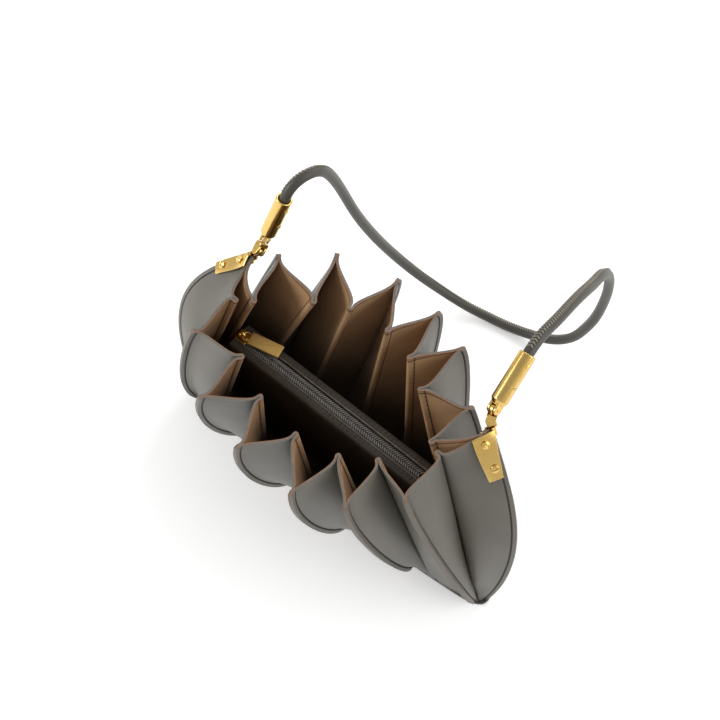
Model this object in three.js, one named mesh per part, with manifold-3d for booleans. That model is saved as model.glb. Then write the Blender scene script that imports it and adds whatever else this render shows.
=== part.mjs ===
// Pleated leather shoulder bag: 28 leather leaves sewn into 14 pleats round an open mouth, a flat sole,
// a middle zip pocket, and a round strap held by a metal ferrule, link and saddle at each end.
// Millimetres, +Z up. The origin is the middle of the sole's underside, +X runs to the right end of the bag
// and +Y to its back.

import * as THREE from 'three';
import { mergeVertices } from 'three/addons/utils/BufferGeometryUtils.js';
import Module from 'manifold-3d';

const wasm = await Module();
wasm.setup();

// Driving dimensions: leather
const WALL = 1.5;
const SEAM_GAP = 0.3;
const FIN_WIDTH = 3.5;
const FIN_WIDTH_AT_FOOT = 1.2;
const TAPER_START = 0.75;
const PUFF = 1.6;
const MOUTH_HEIGHT = 153;

// Driving dimensions: sole
const SOLE_THICKNESS = 2.4;
const SOLE_HALF_LENGTH = 123.5;
const SOLE_HALF_WIDTH = 14;
const SOLE_MARGIN = 1.5;
const SOLE_OUTLINE_STEPS = 42;
const RIDGE_FOOT_HEIGHT = 3.0;
const VALLEY_FOOT_HEIGHT = 4.8;

// How a ridge leaves the mouth and comes in to its foot
const SIDE_FLARE_DEG = 25;
const SIDE_FLARE_REACH = 24;
const SIDE_FOOT_REACH = 18;
const SIDE_FLARE_X_SHARE = 0.8;
const SIDE_FOOT_Y_SHARE = 9;
const END_FLARE_REACH = 24;
const END_FLARE = { out: 0.66, forward: -0.33, down: -0.67 };
const END_BELLY = { out: 26, up: 114 };

// Heights of the cross-sections of a leaf, as shares of the way from the mouth to the foot
const LEAF_ROWS = [0, 0.08, 0.18, 0.3, 0.43, 0.57, 0.7, 0.82, 0.92, 1];
const LEAF_PANEL_SHARES = [1 / 3, 2 / 3];

// Pleats, counter-clockwise from the left end. A ridge row gives its tip at the mouth and its foot as shares
// of the sole's half length and half width; the two end ridges have their own height. A valley row gives the
// tuck that follows that ridge.
const PLEATS = [
  { ridge: { x: -85, y: 31, footX: -1.0, footY: 0.0, endHeight: 155 }, valley: { x: -71, y: 2 } },
  { ridge: { x: -78, y: -29, footX: -0.92, footY: -0.61 }, valley: { x: -44, y: -22.5 } },
  { ridge: { x: -46, y: -57, footX: -0.58, footY: -0.7 }, valley: { x: -20, y: -34.5 } },
  { ridge: { x: -10, y: -67, footX: -0.19, footY: -1.0 }, valley: { x: 9.5, y: -39.5 } },
  { ridge: { x: 30, y: -69, footX: 0.19, footY: -1.0 }, valley: { x: 34.5, y: -35 } },
  { ridge: { x: 57, y: -57, footX: 0.58, footY: -0.7 }, valley: { x: 52, y: -24 } },
  { ridge: { x: 79, y: -34, footX: 0.92, footY: -0.61 }, valley: { x: 73.4, y: -1.2 } },
  { ridge: { x: 90, y: 25.5, footX: 1.0, footY: 0.0, endHeight: 160 }, valley: { x: 67.6, y: 1.7 } },
  { ridge: { x: 73, y: 33, footX: 0.92, footY: 0.61 }, valley: { x: 43, y: 22 } },
  { ridge: { x: 47, y: 60, footX: 0.58, footY: 0.7 }, valley: { x: 26.5, y: 34 } },
  { ridge: { x: 22, y: 70, footX: 0.19, footY: 1.0 }, valley: { x: 6.5, y: 40 } },
  { ridge: { x: -10, y: 73, footX: -0.19, footY: 1.0 }, valley: { x: -18.5, y: 38.5 } },
  { ridge: { x: -49, y: 64, footX: -0.58, footY: 0.7 }, valley: { x: -36.5, y: 28.5 } },
  { ridge: { x: -75, y: 42, footX: -0.92, footY: 0.61 }, valley: { x: -63, y: 7 } },
];
const LEFT_END_PLEAT = 0;
const RIGHT_END_PLEAT = 7;

// Driving dimensions: zip pocket
const POCKET_SHIFT = 1.2;
const POCKET_TURN_DEG = -1.3;
const POCKET_LEFT = -75.5;
const POCKET_RIGHT = 80;
const POCKET_TOP = 111.4;
const POCKET_BOTTOM = 8;
const POCKET_WALL = 1.4;
const POCKET_HALF_WIDTH = 9.2;
const POCKET_HALF_WIDTH_AT_BOTTOM = 2.2;
const ZIP_SLOT_HALF = 3.6;
const ZIP_TAPE_OUTER = 7.4;
const ZIP_TAPE_INNER = 3.3;
const ZIP_TAPE_THICKNESS = 1.2;
const CHAIN_HALF_WIDTH = 3.0;
const CHAIN_LEFT = -69.5;
const CHAIN_RIGHT = 66;
const CHAIN_BOTTOM = 108.7;
const CHAIN_TOP = 111.2;
const CHAIN_SHOULDER = 0.7;

// Driving dimensions: zip slider and its pull
const SLIDER_LEFT = -76.4;
const SLIDER_RIGHT = -67;
const SLIDER_HALF_WIDTH = 4.2;
const SLIDER_PLATE = 1.2;
const SLIDER_POST_HALF_WIDTH = 2.6;
const SLIDER_CLEARANCE = 0.4;
const BRIDGE_HALF_WIDTH = 1.0;
const BRIDGE_HALF_LENGTH = 3.2;
const BRIDGE_HEIGHT = 4.2;
const BRIDGE_BAR = 1.1;
const PULL_LENGTH = 26.2;
const PULL_WIDTH = 8.6;
const PULL_THICKNESS = 1.5;
const PULL_PLATE_START = 5.4;
const PULL_EYE_CENTRE = 2.9;
const PULL_EYE_RADIUS = 3.2;
const PULL_EYE_HOLE_RADIUS = 2.2;
const PULL_EYE_SEGMENTS = 10;
const PULL_HINGE_X = -72;
const PULL_HINGE_RISE = 1.5;
const PULL_DROP_DEG = 2.2;
const PULL_YAW_DEG = 13.5;

// Driving dimensions: strap fittings
const SADDLE_LENGTH = 26;
const SADDLE_OVERHANG = 0.8;
const SADDLE_LEAN = 0.3;
const SADDLE_LIP = 4.5;
const SADDLE_PLATE = 1.2;
const SADDLE_CLEARANCE = 0.35;
const SADDLE_EDGE_EASE = 0.4;
const SADDLE_ROWS = 9;
const SADDLES = {
  [LEFT_END_PLEAT]: {
    atMouth: 8.8, atFoot: 8.0, screws: [{ along: 6, depth: 3.6 }, { along: 21, depth: 3.4 }],
  },
  [RIGHT_END_PLEAT]: {
    atMouth: 11.4, atFoot: 7.0, screws: [{ along: 5.5, depth: 5.4 }, { along: 20.5, depth: 3.8 }],
  },
};
const SADDLE_SCREW_RADIUS = 2.4;
const SADDLE_SCREW_HEIGHT = 1.2;
const SADDLE_SCREW_GAP = 0.5;
const FITTING_GAP = 0.3;
const EYE_RADIUS = 2.2;
const EYE_HOLE_RADIUS = 1.05;
const HEAD_TOP_SHARE = 0.7;
const TONGUE_THICKNESS = 2.4;
const EAR_THICKNESS = 1.5;
const TONGUE_REACH = 4.2;
const PIN_RADIUS = 0.75;
const PIN_PROUD = 0.4;
const FERRULE_RADIUS = 4.9;
const FERRULE_NECK_RADIUS = 3.2;
const FERRULE_LENGTH = 30;
const FERRULE_NECK = 4;
const FERRULE_BORE_DEPTH = 23;
const FERRULE_FORK = 4.2;
const FERRULE_FORK_ROOT = 1;
const FERRULE_SCREWS = [6, 19];
const FERRULE_SCREW_RADIUS = 1.2;
const FERRULE_SCREW_HEIGHT = 0.5;
const FERRULE_SCREW_FACING = new THREE.Vector3(0.8, 0.1, 0.6);
const ROUND_SIDES = 8;
const FERRULE_SIDES = 16;

// Driving dimensions: strap. The route goes from the bottom of the left bore to the bottom of the right one.
const STRAP_RADIUS = 3.25;
const STRAP_SIDES = 10;
const STRAP_STEPS = 64;
const STRAP_ROUTE = [
  [-80.4, 44, 174.6], [-78.2, 47.5, 184.8], [-76, 51, 195], [-74.8, 55, 201.2], [-72.9, 61.6, 205],
  [-71, 68.8, 204.9], [-70.2, 75.6, 200.4], [-70.3, 83.6, 188.4], [-70.9, 94.7, 162.6], [-69.9, 103.3, 137.6],
  [-68, 112.4, 113.3], [-64.9, 122.5, 89.2], [-60.3, 132.2, 67.7], [-53.4, 140.9, 49.2], [-44.8, 148.3, 34.3],
  [-35.3, 155.3, 21.6], [-24.2, 160.6, 12.6], [-12, 164.7, 6.9], [0.8, 168.1, 4.2], [13.9, 170.6, 3.6],
  [27.7, 173.2, 5], [41.3, 174.8, 9.9], [53.4, 176, 18.3], [63.1, 177.5, 30.7], [68.9, 178, 46.3],
  [73.3, 177.6, 64.4], [76, 176, 86.5], [77.9, 171.2, 110.3], [78.2, 163.9, 133.9], [78.5, 151.9, 149.5],
  [80.5, 136.3, 160.3], [82.1, 120.5, 170.9], [83.1, 103.6, 178.2], [83.9, 88.1, 183.2], [83.7, 75, 185.4],
  [84.2, 62, 183.3], [84.8, 52.3, 178.2], [85.4, 42.6, 173.1],
];

// Finishes
const LEATHER = new THREE.MeshStandardMaterial({ color: 0x5c5850, roughness: 0.55, metalness: 0 });
const SOLE_LEATHER = new THREE.MeshStandardMaterial({ color: 0x4f4b44, roughness: 0.6, metalness: 0 });
const POCKET_LEATHER = new THREE.MeshStandardMaterial({ color: 0x3a322a, roughness: 0.65, metalness: 0 });
const TAPE = new THREE.MeshStandardMaterial({ color: 0x1d1916, roughness: 0.9, metalness: 0 });
const TEETH = new THREE.MeshStandardMaterial({ color: 0x2a2724, roughness: 0.45, metalness: 0 });
const GOLD = new THREE.MeshStandardMaterial({ color: 0xd9a93e, roughness: 0.22, metalness: 1 });

const bag = new THREE.Group();

function addPiece(name, geometry, material, parent = bag) {
  const mesh = new THREE.Mesh(geometry, material);
  mesh.name = name;
  parent.add(mesh);
  return mesh;
}

// Booleans
function toSolid(geometry) {
  const bare = geometry.clone();
  bare.deleteAttribute('normal');
  bare.deleteAttribute('uv');
  const merged = mergeVertices(bare);
  const vertProperties = new Float32Array(merged.attributes.position.array);
  const triVerts = new Uint32Array(merged.index.array);
  return new wasm.Manifold(new wasm.Mesh({ numProp: 3, vertProperties, triVerts }));
}

function fromSolid(solid) {
  const mesh = solid.getMesh();
  const geometry = new THREE.BufferGeometry();
  geometry.setAttribute('position', new THREE.BufferAttribute(new Float32Array(mesh.vertProperties), 3));
  geometry.setIndex(new THREE.BufferAttribute(new Uint32Array(mesh.triVerts), 1));
  geometry.computeVertexNormals();
  return geometry;
}

// A closed wall between two grids of points that have the same rows and columns
function wallGeometry(inner, outer) {
  const rows = inner.length;
  const columns = inner[0].length;
  const points = [...inner.flat(), ...outer.flat()];
  const at = (side, row, column) => side * rows * columns + row * columns + column;
  const index = [];
  const quad = (a, b, c, d) => index.push(a, b, c, a, c, d);
  for (let row = 0; row + 1 < rows; row += 1) {
    for (let column = 0; column + 1 < columns; column += 1) {
      const corners = [[row, column], [row + 1, column], [row + 1, column + 1], [row, column + 1]];
      quad(...corners.map(([r, c]) => at(1, r, c)));
      quad(...corners.map(([r, c]) => at(0, r, c)).reverse());
    }
    const last = columns - 1;
    quad(at(0, row, 0), at(0, row + 1, 0), at(1, row + 1, 0), at(1, row, 0));
    quad(at(1, row, last), at(1, row + 1, last), at(0, row + 1, last), at(0, row, last));
  }
  for (let column = 0; column + 1 < columns; column += 1) {
    const last = rows - 1;
    quad(at(1, 0, column), at(1, 0, column + 1), at(0, 0, column + 1), at(0, 0, column));
    quad(at(0, last, column), at(0, last, column + 1), at(1, last, column + 1), at(1, last, column));
  }
  if (signedVolume(points, index) < 0) {
    index.reverse();
  }
  const geometry = new THREE.BufferGeometry().setFromPoints(points);
  geometry.setIndex(index);
  geometry.computeVertexNormals();
  return geometry;
}

function signedVolume(points, index) {
  let volume = 0;
  for (let i = 0; i < index.length; i += 3) {
    const [a, b, c] = [points[index[i]], points[index[i + 1]], points[index[i + 2]]];
    volume += a.dot(b.clone().cross(c)) / 6;
  }
  return volume;
}

// Small vector words
const vec = (x, y, z) => new THREE.Vector3(x, y, z);
const along = (point, direction, distance) => point.clone().addScaledVector(direction, distance);
const unitCross = (a, b) => a.clone().cross(b).normalize();

// Pleat lines: each ridge is a cubic curve and each valley is a straight fold, both from mouth to foot
function ridgeCurve({ x, y, footX, footY, endHeight }) {
  const foot = vec(footX * SOLE_HALF_LENGTH, footY * SOLE_HALF_WIDTH, RIDGE_FOOT_HEIGHT);
  if (endHeight) {
    const side = Math.sign(x);
    const mouth = vec(x, y, endHeight);
    const flare = vec(side * END_FLARE.out, END_FLARE.forward, END_FLARE.down);
    const belly = foot.clone().add(vec(side * END_BELLY.out, 0, END_BELLY.up));
    return new THREE.CubicBezierCurve3(mouth, along(mouth, flare, END_FLARE_REACH), belly, foot);
  }
  const mouth = vec(x, y, MOUTH_HEIGHT);
  const flareAngle = THREE.MathUtils.degToRad(SIDE_FLARE_DEG);
  const outward = vec(SIDE_FLARE_X_SHARE * x, y, 0).normalize();
  const flare = outward.multiplyScalar(Math.sin(flareAngle)).add(vec(0, 0, -Math.cos(flareAngle)));
  const footOutward = vec(foot.x, SIDE_FOOT_Y_SHARE * foot.y, 0).normalize();
  const footControl = along(foot, footOutward, SIDE_FOOT_REACH);
  return new THREE.CubicBezierCurve3(mouth, along(mouth, flare, SIDE_FLARE_REACH), footControl, foot);
}

function valleyCurve({ x, y }, ridgeBefore, ridgeAfter) {
  const foot = vec(
    (ridgeBefore.footX + ridgeAfter.footX) / 2 * SOLE_HALF_LENGTH,
    (ridgeBefore.footY + ridgeAfter.footY) / 2 * SOLE_HALF_WIDTH,
    VALLEY_FOOT_HEIGHT,
  );
  return new THREE.LineCurve3(vec(x, y, MOUTH_HEIGHT), foot);
}

const pleatAt = (i) => PLEATS[(i + PLEATS.length) % PLEATS.length];
const ridges = PLEATS.map(({ ridge }) => ridgeCurve(ridge));
const valleys = PLEATS.map(({ ridge, valley }, i) => valleyCurve(valley, ridge, pleatAt(i + 1).ridge));
const cyclic = (list, i) => list[(i + list.length) % list.length];

// The frame of a fold: where it is, which way it runs down, which way is out, and which way is round the bag
function foldFrame(curve, before, after, t) {
  const point = curve.getPoint(t);
  const down = curve.getTangent(t);
  const round = after.getPoint(t).sub(before.getPoint(t));
  const out = unitCross(down, round);
  const side = unitCross(out, down);
  return { point, down, out, side };
}

const ridgeFrame = (i, t) => foldFrame(cyclic(ridges, i), cyclic(valleys, i - 1), cyclic(valleys, i), t);
const valleyFrame = (i, t) => foldFrame(cyclic(valleys, i), cyclic(ridges, i), cyclic(ridges, i + 1), t);

function finWidth(t) {
  return THREE.MathUtils.lerp(FIN_WIDTH, FIN_WIDTH_AT_FOOT, THREE.MathUtils.smoothstep(t, TAPER_START, 1));
}

// The offset at a bend, long enough to keep the wall's thickness on both sides of it
function mitre(normalA, normalB) {
  const bisector = normalA.clone().add(normalB).normalize();
  return bisector.divideScalar(bisector.dot(normalA));
}

// One cross-section of a leaf, from its ridge fin to its valley tuck. turn is 1 for the leaf that follows its
// ridge and -1 for the leaf that comes before it.
function leafRow(ridge, valley, turn, t, puff) {
  const layer = (SEAM_GAP + WALL) / 2;
  const width = finWidth(t);
  const ridgeTip = along(ridge.point, ridge.side, turn * layer);
  const ridgeStitch = along(ridgeTip, ridge.out, -width);
  const valleyTip = along(valley.point, valley.side, -turn * layer);
  const valleyStitch = along(valleyTip, valley.out, width);
  const across = valleyStitch.clone().sub(ridgeStitch);
  const down = ridge.down.clone().add(valley.down);
  const panelNormal = unitCross(down, across).multiplyScalar(turn);
  const ridgeNormal = ridge.side.clone().multiplyScalar(turn);
  const valleyNormal = valley.side.clone().multiplyScalar(turn);
  const panel = LEAF_PANEL_SHARES.map((share) => {
    const swell = puff * Math.sin(Math.PI * share) * Math.sin(Math.PI * t);
    return along(along(ridgeStitch, across, share), panelNormal, swell);
  });
  const middle = [ridgeTip, ridgeStitch, ...panel, valleyStitch, valleyTip];
  const normals = [
    ridgeNormal,
    mitre(ridgeNormal, panelNormal),
    ...panel.map(() => panelNormal),
    mitre(panelNormal, valleyNormal),
    valleyNormal,
  ];
  const inner = middle.map((point, k) => along(point, normals[k], -WALL / 2));
  const outer = middle.map((point, k) => along(point, normals[k], WALL / 2));
  return { inner, outer };
}

function leafGeometry(ridgeIndex, valleyIndex, turn) {
  const puff = pleatAt(ridgeIndex).ridge.endHeight ? 0 : PUFF;
  const rows = LEAF_ROWS.map((t) => (
    leafRow(ridgeFrame(ridgeIndex, t), valleyFrame(valleyIndex, t), turn, t, puff)
  ));
  return wallGeometry(rows.map(({ inner }) => inner), rows.map(({ outer }) => outer));
}

PLEATS.forEach((_, i) => {
  const number = String(i + 1).padStart(2, '0');
  addPiece(`leaf_${number}_a`, leafGeometry(i, i, 1), LEATHER);
  addPiece(`leaf_${number}_b`, leafGeometry(i + 1, i, -1), LEATHER);
});

// Sole: a flat boat-shaped plate that runs under the feet of all the ridges
function soleGeometry() {
  const corners = PLEATS.map(({ ridge: { footX, footY } }) => vec(
    footX * (SOLE_HALF_LENGTH + SOLE_MARGIN),
    footY * SOLE_HALF_WIDTH + Math.sign(footY) * SOLE_MARGIN,
    0,
  ));
  const outline = new THREE.CatmullRomCurve3(corners, true).getSpacedPoints(SOLE_OUTLINE_STEPS).slice(0, -1);
  const shape = new THREE.Shape(outline.map(({ x, y }) => new THREE.Vector2(x, y)));
  return new THREE.ExtrudeGeometry(shape, { depth: SOLE_THICKNESS, bevelEnabled: false });
}

addPiece('base_panel', soleGeometry(), SOLE_LEATHER);

// A straight piece along X, from a closed outline of [y, z] corners
function barAlongX(corners, left, right) {
  const outline = new THREE.Shape(corners.map(([y, z]) => new THREE.Vector2(y, z)));
  const geometry = new THREE.ExtrudeGeometry(outline, { depth: right - left, bevelEnabled: false });
  const turn = new THREE.Matrix4().makeBasis(vec(0, 1, 0), vec(0, 0, 1), vec(1, 0, 0));
  return geometry.applyMatrix4(turn).translate(left, 0, 0);
}

function boxBetween([x0, y0, z0], [x1, y1, z1]) {
  const geometry = new THREE.BoxGeometry(x1 - x0, y1 - y0, z1 - z0);
  return geometry.translate((x0 + x1) / 2, (y0 + y1) / 2, (z0 + z1) / 2);
}

// Pocket: two walls that lean together towards the bottom, each with a facing band on top
function pocketOutline(side) {
  const bandBottom = POCKET_TOP - POCKET_WALL;
  const corners = [
    [POCKET_HALF_WIDTH, POCKET_TOP],
    [ZIP_SLOT_HALF, POCKET_TOP],
    [ZIP_SLOT_HALF, bandBottom],
    [POCKET_HALF_WIDTH - POCKET_WALL, bandBottom],
    [POCKET_HALF_WIDTH_AT_BOTTOM - POCKET_WALL, POCKET_BOTTOM],
    [POCKET_HALF_WIDTH_AT_BOTTOM, POCKET_BOTTOM],
  ];
  return corners.map(([y, z]) => [side * y, z]);
}

function tapeOutline(side) {
  const top = POCKET_TOP - POCKET_WALL - SEAM_GAP;
  const bottom = top - ZIP_TAPE_THICKNESS;
  const corners = [
    [ZIP_TAPE_OUTER, top], [ZIP_TAPE_INNER, top], [ZIP_TAPE_INNER, bottom], [ZIP_TAPE_OUTER, bottom],
  ];
  return corners.map(([y, z]) => [side * y, z]);
}

// The pocket hangs from the end valleys, so it is turned a little in the bag
const pocketGroup = new THREE.Group();
pocketGroup.position.set(0, POCKET_SHIFT, 0);
pocketGroup.rotation.z = THREE.MathUtils.degToRad(POCKET_TURN_DEG);
bag.add(pocketGroup);

const SIDES = [{ word: 'front', side: -1 }, { word: 'back', side: 1 }];
for (const { word, side } of SIDES) {
  const wall = barAlongX(pocketOutline(side), POCKET_LEFT, POCKET_RIGHT);
  const tape = barAlongX(tapeOutline(side), POCKET_LEFT, POCKET_RIGHT);
  addPiece(`pocket_${word}`, wall, POCKET_LEATHER, pocketGroup);
  addPiece(`zip_tape_${word}`, tape, TAPE, pocketGroup);
}

const CHAIN_OUTLINE = [
  [-CHAIN_HALF_WIDTH, CHAIN_BOTTOM],
  [CHAIN_HALF_WIDTH, CHAIN_BOTTOM],
  [CHAIN_HALF_WIDTH, CHAIN_TOP - CHAIN_SHOULDER],
  [CHAIN_HALF_WIDTH - CHAIN_SHOULDER, CHAIN_TOP],
  [-CHAIN_HALF_WIDTH + CHAIN_SHOULDER, CHAIN_TOP],
  [-CHAIN_HALF_WIDTH, CHAIN_TOP - CHAIN_SHOULDER],
];
addPiece('zip_chain', barAlongX(CHAIN_OUTLINE, CHAIN_LEFT, CHAIN_RIGHT), TEETH, pocketGroup);

// Slider: plates above and below the chain, joined by a post past the chain's end, with a bridge on top
const sliderTop = POCKET_TOP + SLIDER_CLEARANCE + SLIDER_PLATE;
const tapeBottom = POCKET_TOP - POCKET_WALL - SEAM_GAP - ZIP_TAPE_THICKNESS;
const sliderBottom = tapeBottom - SLIDER_CLEARANCE - SLIDER_PLATE;

function sliderGeometry() {
  const half = SLIDER_HALF_WIDTH;
  const post = SLIDER_POST_HALF_WIDTH;
  const upper = boxBetween(
    [SLIDER_LEFT, -half, sliderTop - SLIDER_PLATE], [SLIDER_RIGHT, half, sliderTop],
  );
  const lower = boxBetween(
    [SLIDER_LEFT, -half, sliderBottom], [SLIDER_RIGHT, half, sliderBottom + SLIDER_PLATE],
  );
  const joint = boxBetween(
    [SLIDER_LEFT, -post, sliderBottom], [CHAIN_LEFT - SEAM_GAP, post, sliderTop],
  );
  const bridgeLeft = PULL_HINGE_X - BRIDGE_HALF_LENGTH;
  const bridgeRight = PULL_HINGE_X + BRIDGE_HALF_LENGTH;
  const bridge = boxBetween(
    [bridgeLeft, -BRIDGE_HALF_WIDTH, sliderTop - SLIDER_PLATE / 2],
    [bridgeRight, BRIDGE_HALF_WIDTH, sliderTop + BRIDGE_HEIGHT],
  );
  const eye = boxBetween(
    [bridgeLeft + BRIDGE_BAR, -half, sliderTop],
    [bridgeRight - BRIDGE_BAR, half, sliderTop + BRIDGE_HEIGHT - BRIDGE_BAR],
  );
  const arch = toSolid(bridge).subtract(toSolid(eye));
  return fromSolid(toSolid(upper).add(toSolid(lower)).add(toSolid(joint)).add(arch));
}

addPiece('zip_slider', sliderGeometry(), GOLD, pocketGroup);

// Pull: a flat tab with a round eye for the bridge. Its hinge line, in the eye's rim, lies along the
// group's Y axis.
function pullGeometry() {
  const half = PULL_WIDTH / 2;
  const meet = Math.acos((PULL_PLATE_START - PULL_EYE_CENTRE) / PULL_EYE_RADIUS);
  const outline = new THREE.Shape();
  outline.moveTo(PULL_PLATE_START, -half);
  outline.lineTo(PULL_LENGTH, -half);
  outline.lineTo(PULL_LENGTH, half);
  outline.lineTo(PULL_PLATE_START, half);
  outline.absarc(PULL_EYE_CENTRE, 0, PULL_EYE_RADIUS, meet, 2 * Math.PI - meet);
  outline.closePath();
  outline.holes.push(new THREE.Path().absarc(PULL_EYE_CENTRE, 0, PULL_EYE_HOLE_RADIUS, 0, 2 * Math.PI));
  const geometry = new THREE.ExtrudeGeometry(outline, {
    depth: PULL_THICKNESS, bevelEnabled: false, curveSegments: PULL_EYE_SEGMENTS,
  });
  return geometry.translate(0, 0, -PULL_THICKNESS / 2);
}

const pullGroup = new THREE.Group();
pullGroup.position.set(PULL_HINGE_X, 0, sliderTop + PULL_HINGE_RISE);
const pullDrop = THREE.MathUtils.degToRad(PULL_DROP_DEG);
const pullYaw = THREE.MathUtils.degToRad(PULL_YAW_DEG);
pullGroup.rotation.set(0, pullDrop, pullYaw, 'ZYX');
pocketGroup.add(pullGroup);
addPiece('zip_pull', pullGeometry(), GOLD, pullGroup);

// A cylinder about an axis through a point
function cylinderAbout(centre, axis, radius, length) {
  const geometry = new THREE.CylinderGeometry(radius, radius, length, ROUND_SIDES);
  const turn = new THREE.Quaternion().setFromUnitVectors(vec(0, 1, 0), axis);
  return geometry.applyQuaternion(turn).translate(centre.x, centre.y, centre.z);
}

// A flat lug with a pin hole: round about the pin and straight from there to its root. offset moves it along
// the pin's axis.
function lugSolid(centre, axis, towards, reach, thickness, offset = 0) {
  const outline = new THREE.Shape();
  outline.absarc(0, 0, EYE_RADIUS, Math.PI / 2, Math.PI * 1.5);
  outline.lineTo(reach, -EYE_RADIUS);
  outline.lineTo(reach, EYE_RADIUS);
  outline.holes.push(new THREE.Path().absarc(0, 0, EYE_HOLE_RADIUS, 0, 2 * Math.PI));
  const geometry = new THREE.ExtrudeGeometry(outline, {
    depth: thickness, bevelEnabled: false, curveSegments: ROUND_SIDES / 2,
  });
  const across = unitCross(axis, towards);
  const place = new THREE.Matrix4().makeBasis(towards, across, axis);
  place.setPosition(along(centre, axis, offset - thickness / 2));
  return toSolid(geometry.applyMatrix4(place));
}

function forkSolid(centre, axis, towards, reach) {
  const offset = (TONGUE_THICKNESS + EAR_THICKNESS) / 2 + FITTING_GAP;
  const ear = (side) => lugSolid(centre, axis, towards, reach, EAR_THICKNESS, side * offset);
  return ear(-1).add(ear(1));
}

const forkWidth = TONGUE_THICKNESS + 2 * FITTING_GAP + 2 * EAR_THICKNESS;

// The point of a straight fold that lies square across a ridge from the frame's point
function levelPoint(fold, { point, down }) {
  const run = fold.v2.clone().sub(fold.v1);
  return fold.getPoint(point.clone().sub(fold.v1).dot(down) / run.dot(down));
}

// Saddle: a plate on the front leaf of an end ridge, narrower towards the foot, folded over the ridge to a
// short lip on the back leaf, with a tongue at the mouth. The front leaf follows the ridge at the left end
// (turn 1) and comes before it at the right end (turn -1).
function saddleSection(pleat, turn, distance) {
  const t = cyclic(ridges, pleat).getUtoTmapping(0, Math.max(distance, 0));
  const frame = ridgeFrame(pleat, t);
  const start = distance < 0 ? along(frame.point, frame.down, distance) : frame.point;
  const leafHalf = SEAM_GAP / 2 + WALL;
  const { atMouth, atFoot } = SADDLES[pleat];
  const depth = THREE.MathUtils.lerp(atMouth, atFoot, distance / SADDLE_LENGTH);
  const spread = (valley) => {
    const fold = cyclic(valleys, valley);
    const slopes = [fold.getPoint(t), levelPoint(fold, frame)].map((tuck) => {
      tuck.sub(frame.point);
      return Math.abs(tuck.dot(frame.side) / tuck.dot(frame.out));
    });
    return Math.max(...slopes);
  };
  const [front, back] = turn > 0 ? [spread(pleat), spread(pleat - 1)] : [spread(pleat - 1), spread(pleat)];
  const place = (out, side) => along(along(start, frame.out, out), frame.side, side * turn);
  const sheet = (plate) => {
    const web = SADDLE_CLEARANCE + plate;
    const tipHalf = leafHalf + SADDLE_CLEARANCE + plate;
    const level = place(-depth, tipHalf + SADDLE_EDGE_EASE + front * depth);
    const edge = along(level, frame.down, SADDLE_LEAN * depth);
    const lip = place(-SADDLE_LIP, -(tipHalf + SADDLE_EDGE_EASE + back * SADDLE_LIP));
    const corners = [edge, place(web, tipHalf), place(web, -tipHalf), lip];
    return turn > 0 ? corners : corners.reverse();
  };
  return { frame, depth, inner: sheet(0), outer: sheet(SADDLE_PLATE) };
}

function saddleSections(pleat, turn) {
  const stops = Array.from({ length: SADDLE_ROWS }, (_, k) => k / (SADDLE_ROWS - 1) * SADDLE_LENGTH);
  return [-SADDLE_OVERHANG, ...stops].map((distance) => saddleSection(pleat, turn, distance));
}

// The seat of a screw head on the front of a saddle
function saddleScrewPlace(pleat, turn, { along: distance, depth }) {
  const front = ({ outer }) => (turn > 0 ? outer.slice(0, 2) : outer.slice(2).reverse());
  const section = saddleSection(pleat, turn, distance);
  const [edge, root] = front(section);
  const [edgeBelow] = front(saddleSection(pleat, turn, distance + 1));
  const web = SADDLE_CLEARANCE + SADDLE_PLATE;
  const seat = root.clone().lerp(edge, (depth + web) / (section.depth + web));
  const normal = unitCross(edge.clone().sub(root), edgeBelow.sub(edge)).multiplyScalar(-turn);
  return { seat, normal };
}

// A low round head on a seat, standing a small gap off it
function headGeometry({ seat, normal }, radius, height, gap) {
  const profile = [[0, 0], [radius, 0], [radius, height / 2], [radius * HEAD_TOP_SHARE, height], [0, height]];
  const geometry = new THREE.LatheGeometry(profile.map(([r, y]) => new THREE.Vector2(r, y)), ROUND_SIDES);
  const turn = new THREE.Quaternion().setFromUnitVectors(vec(0, 1, 0), normal);
  const place = along(seat, normal, gap);
  return geometry.applyQuaternion(turn).translate(place.x, place.y, place.z);
}

// Ferrule: a tube with a blind bore for the strap, a tapered neck and a fork
function ferruleSolid(forkPin, pinAxis, axis) {
  const profile = [
    [0, 0], [FERRULE_NECK_RADIUS, 0], [FERRULE_RADIUS, FERRULE_NECK], [FERRULE_RADIUS, FERRULE_LENGTH],
    [STRAP_RADIUS + FITTING_GAP, FERRULE_LENGTH],
    [STRAP_RADIUS + FITTING_GAP, FERRULE_LENGTH - FERRULE_BORE_DEPTH],
    [0, FERRULE_LENGTH - FERRULE_BORE_DEPTH],
  ];
  const tube = new THREE.LatheGeometry(profile.map(([r, y]) => new THREE.Vector2(r, y)), FERRULE_SIDES);
  const root = along(forkPin, axis, FERRULE_FORK);
  const turn = new THREE.Quaternion().setFromUnitVectors(vec(0, 1, 0), axis);
  tube.applyQuaternion(turn).translate(root.x, root.y, root.z);
  const fork = forkSolid(forkPin, pinAxis, axis, FERRULE_FORK + FERRULE_FORK_ROOT);
  return toSolid(tube).add(fork);
}

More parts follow.
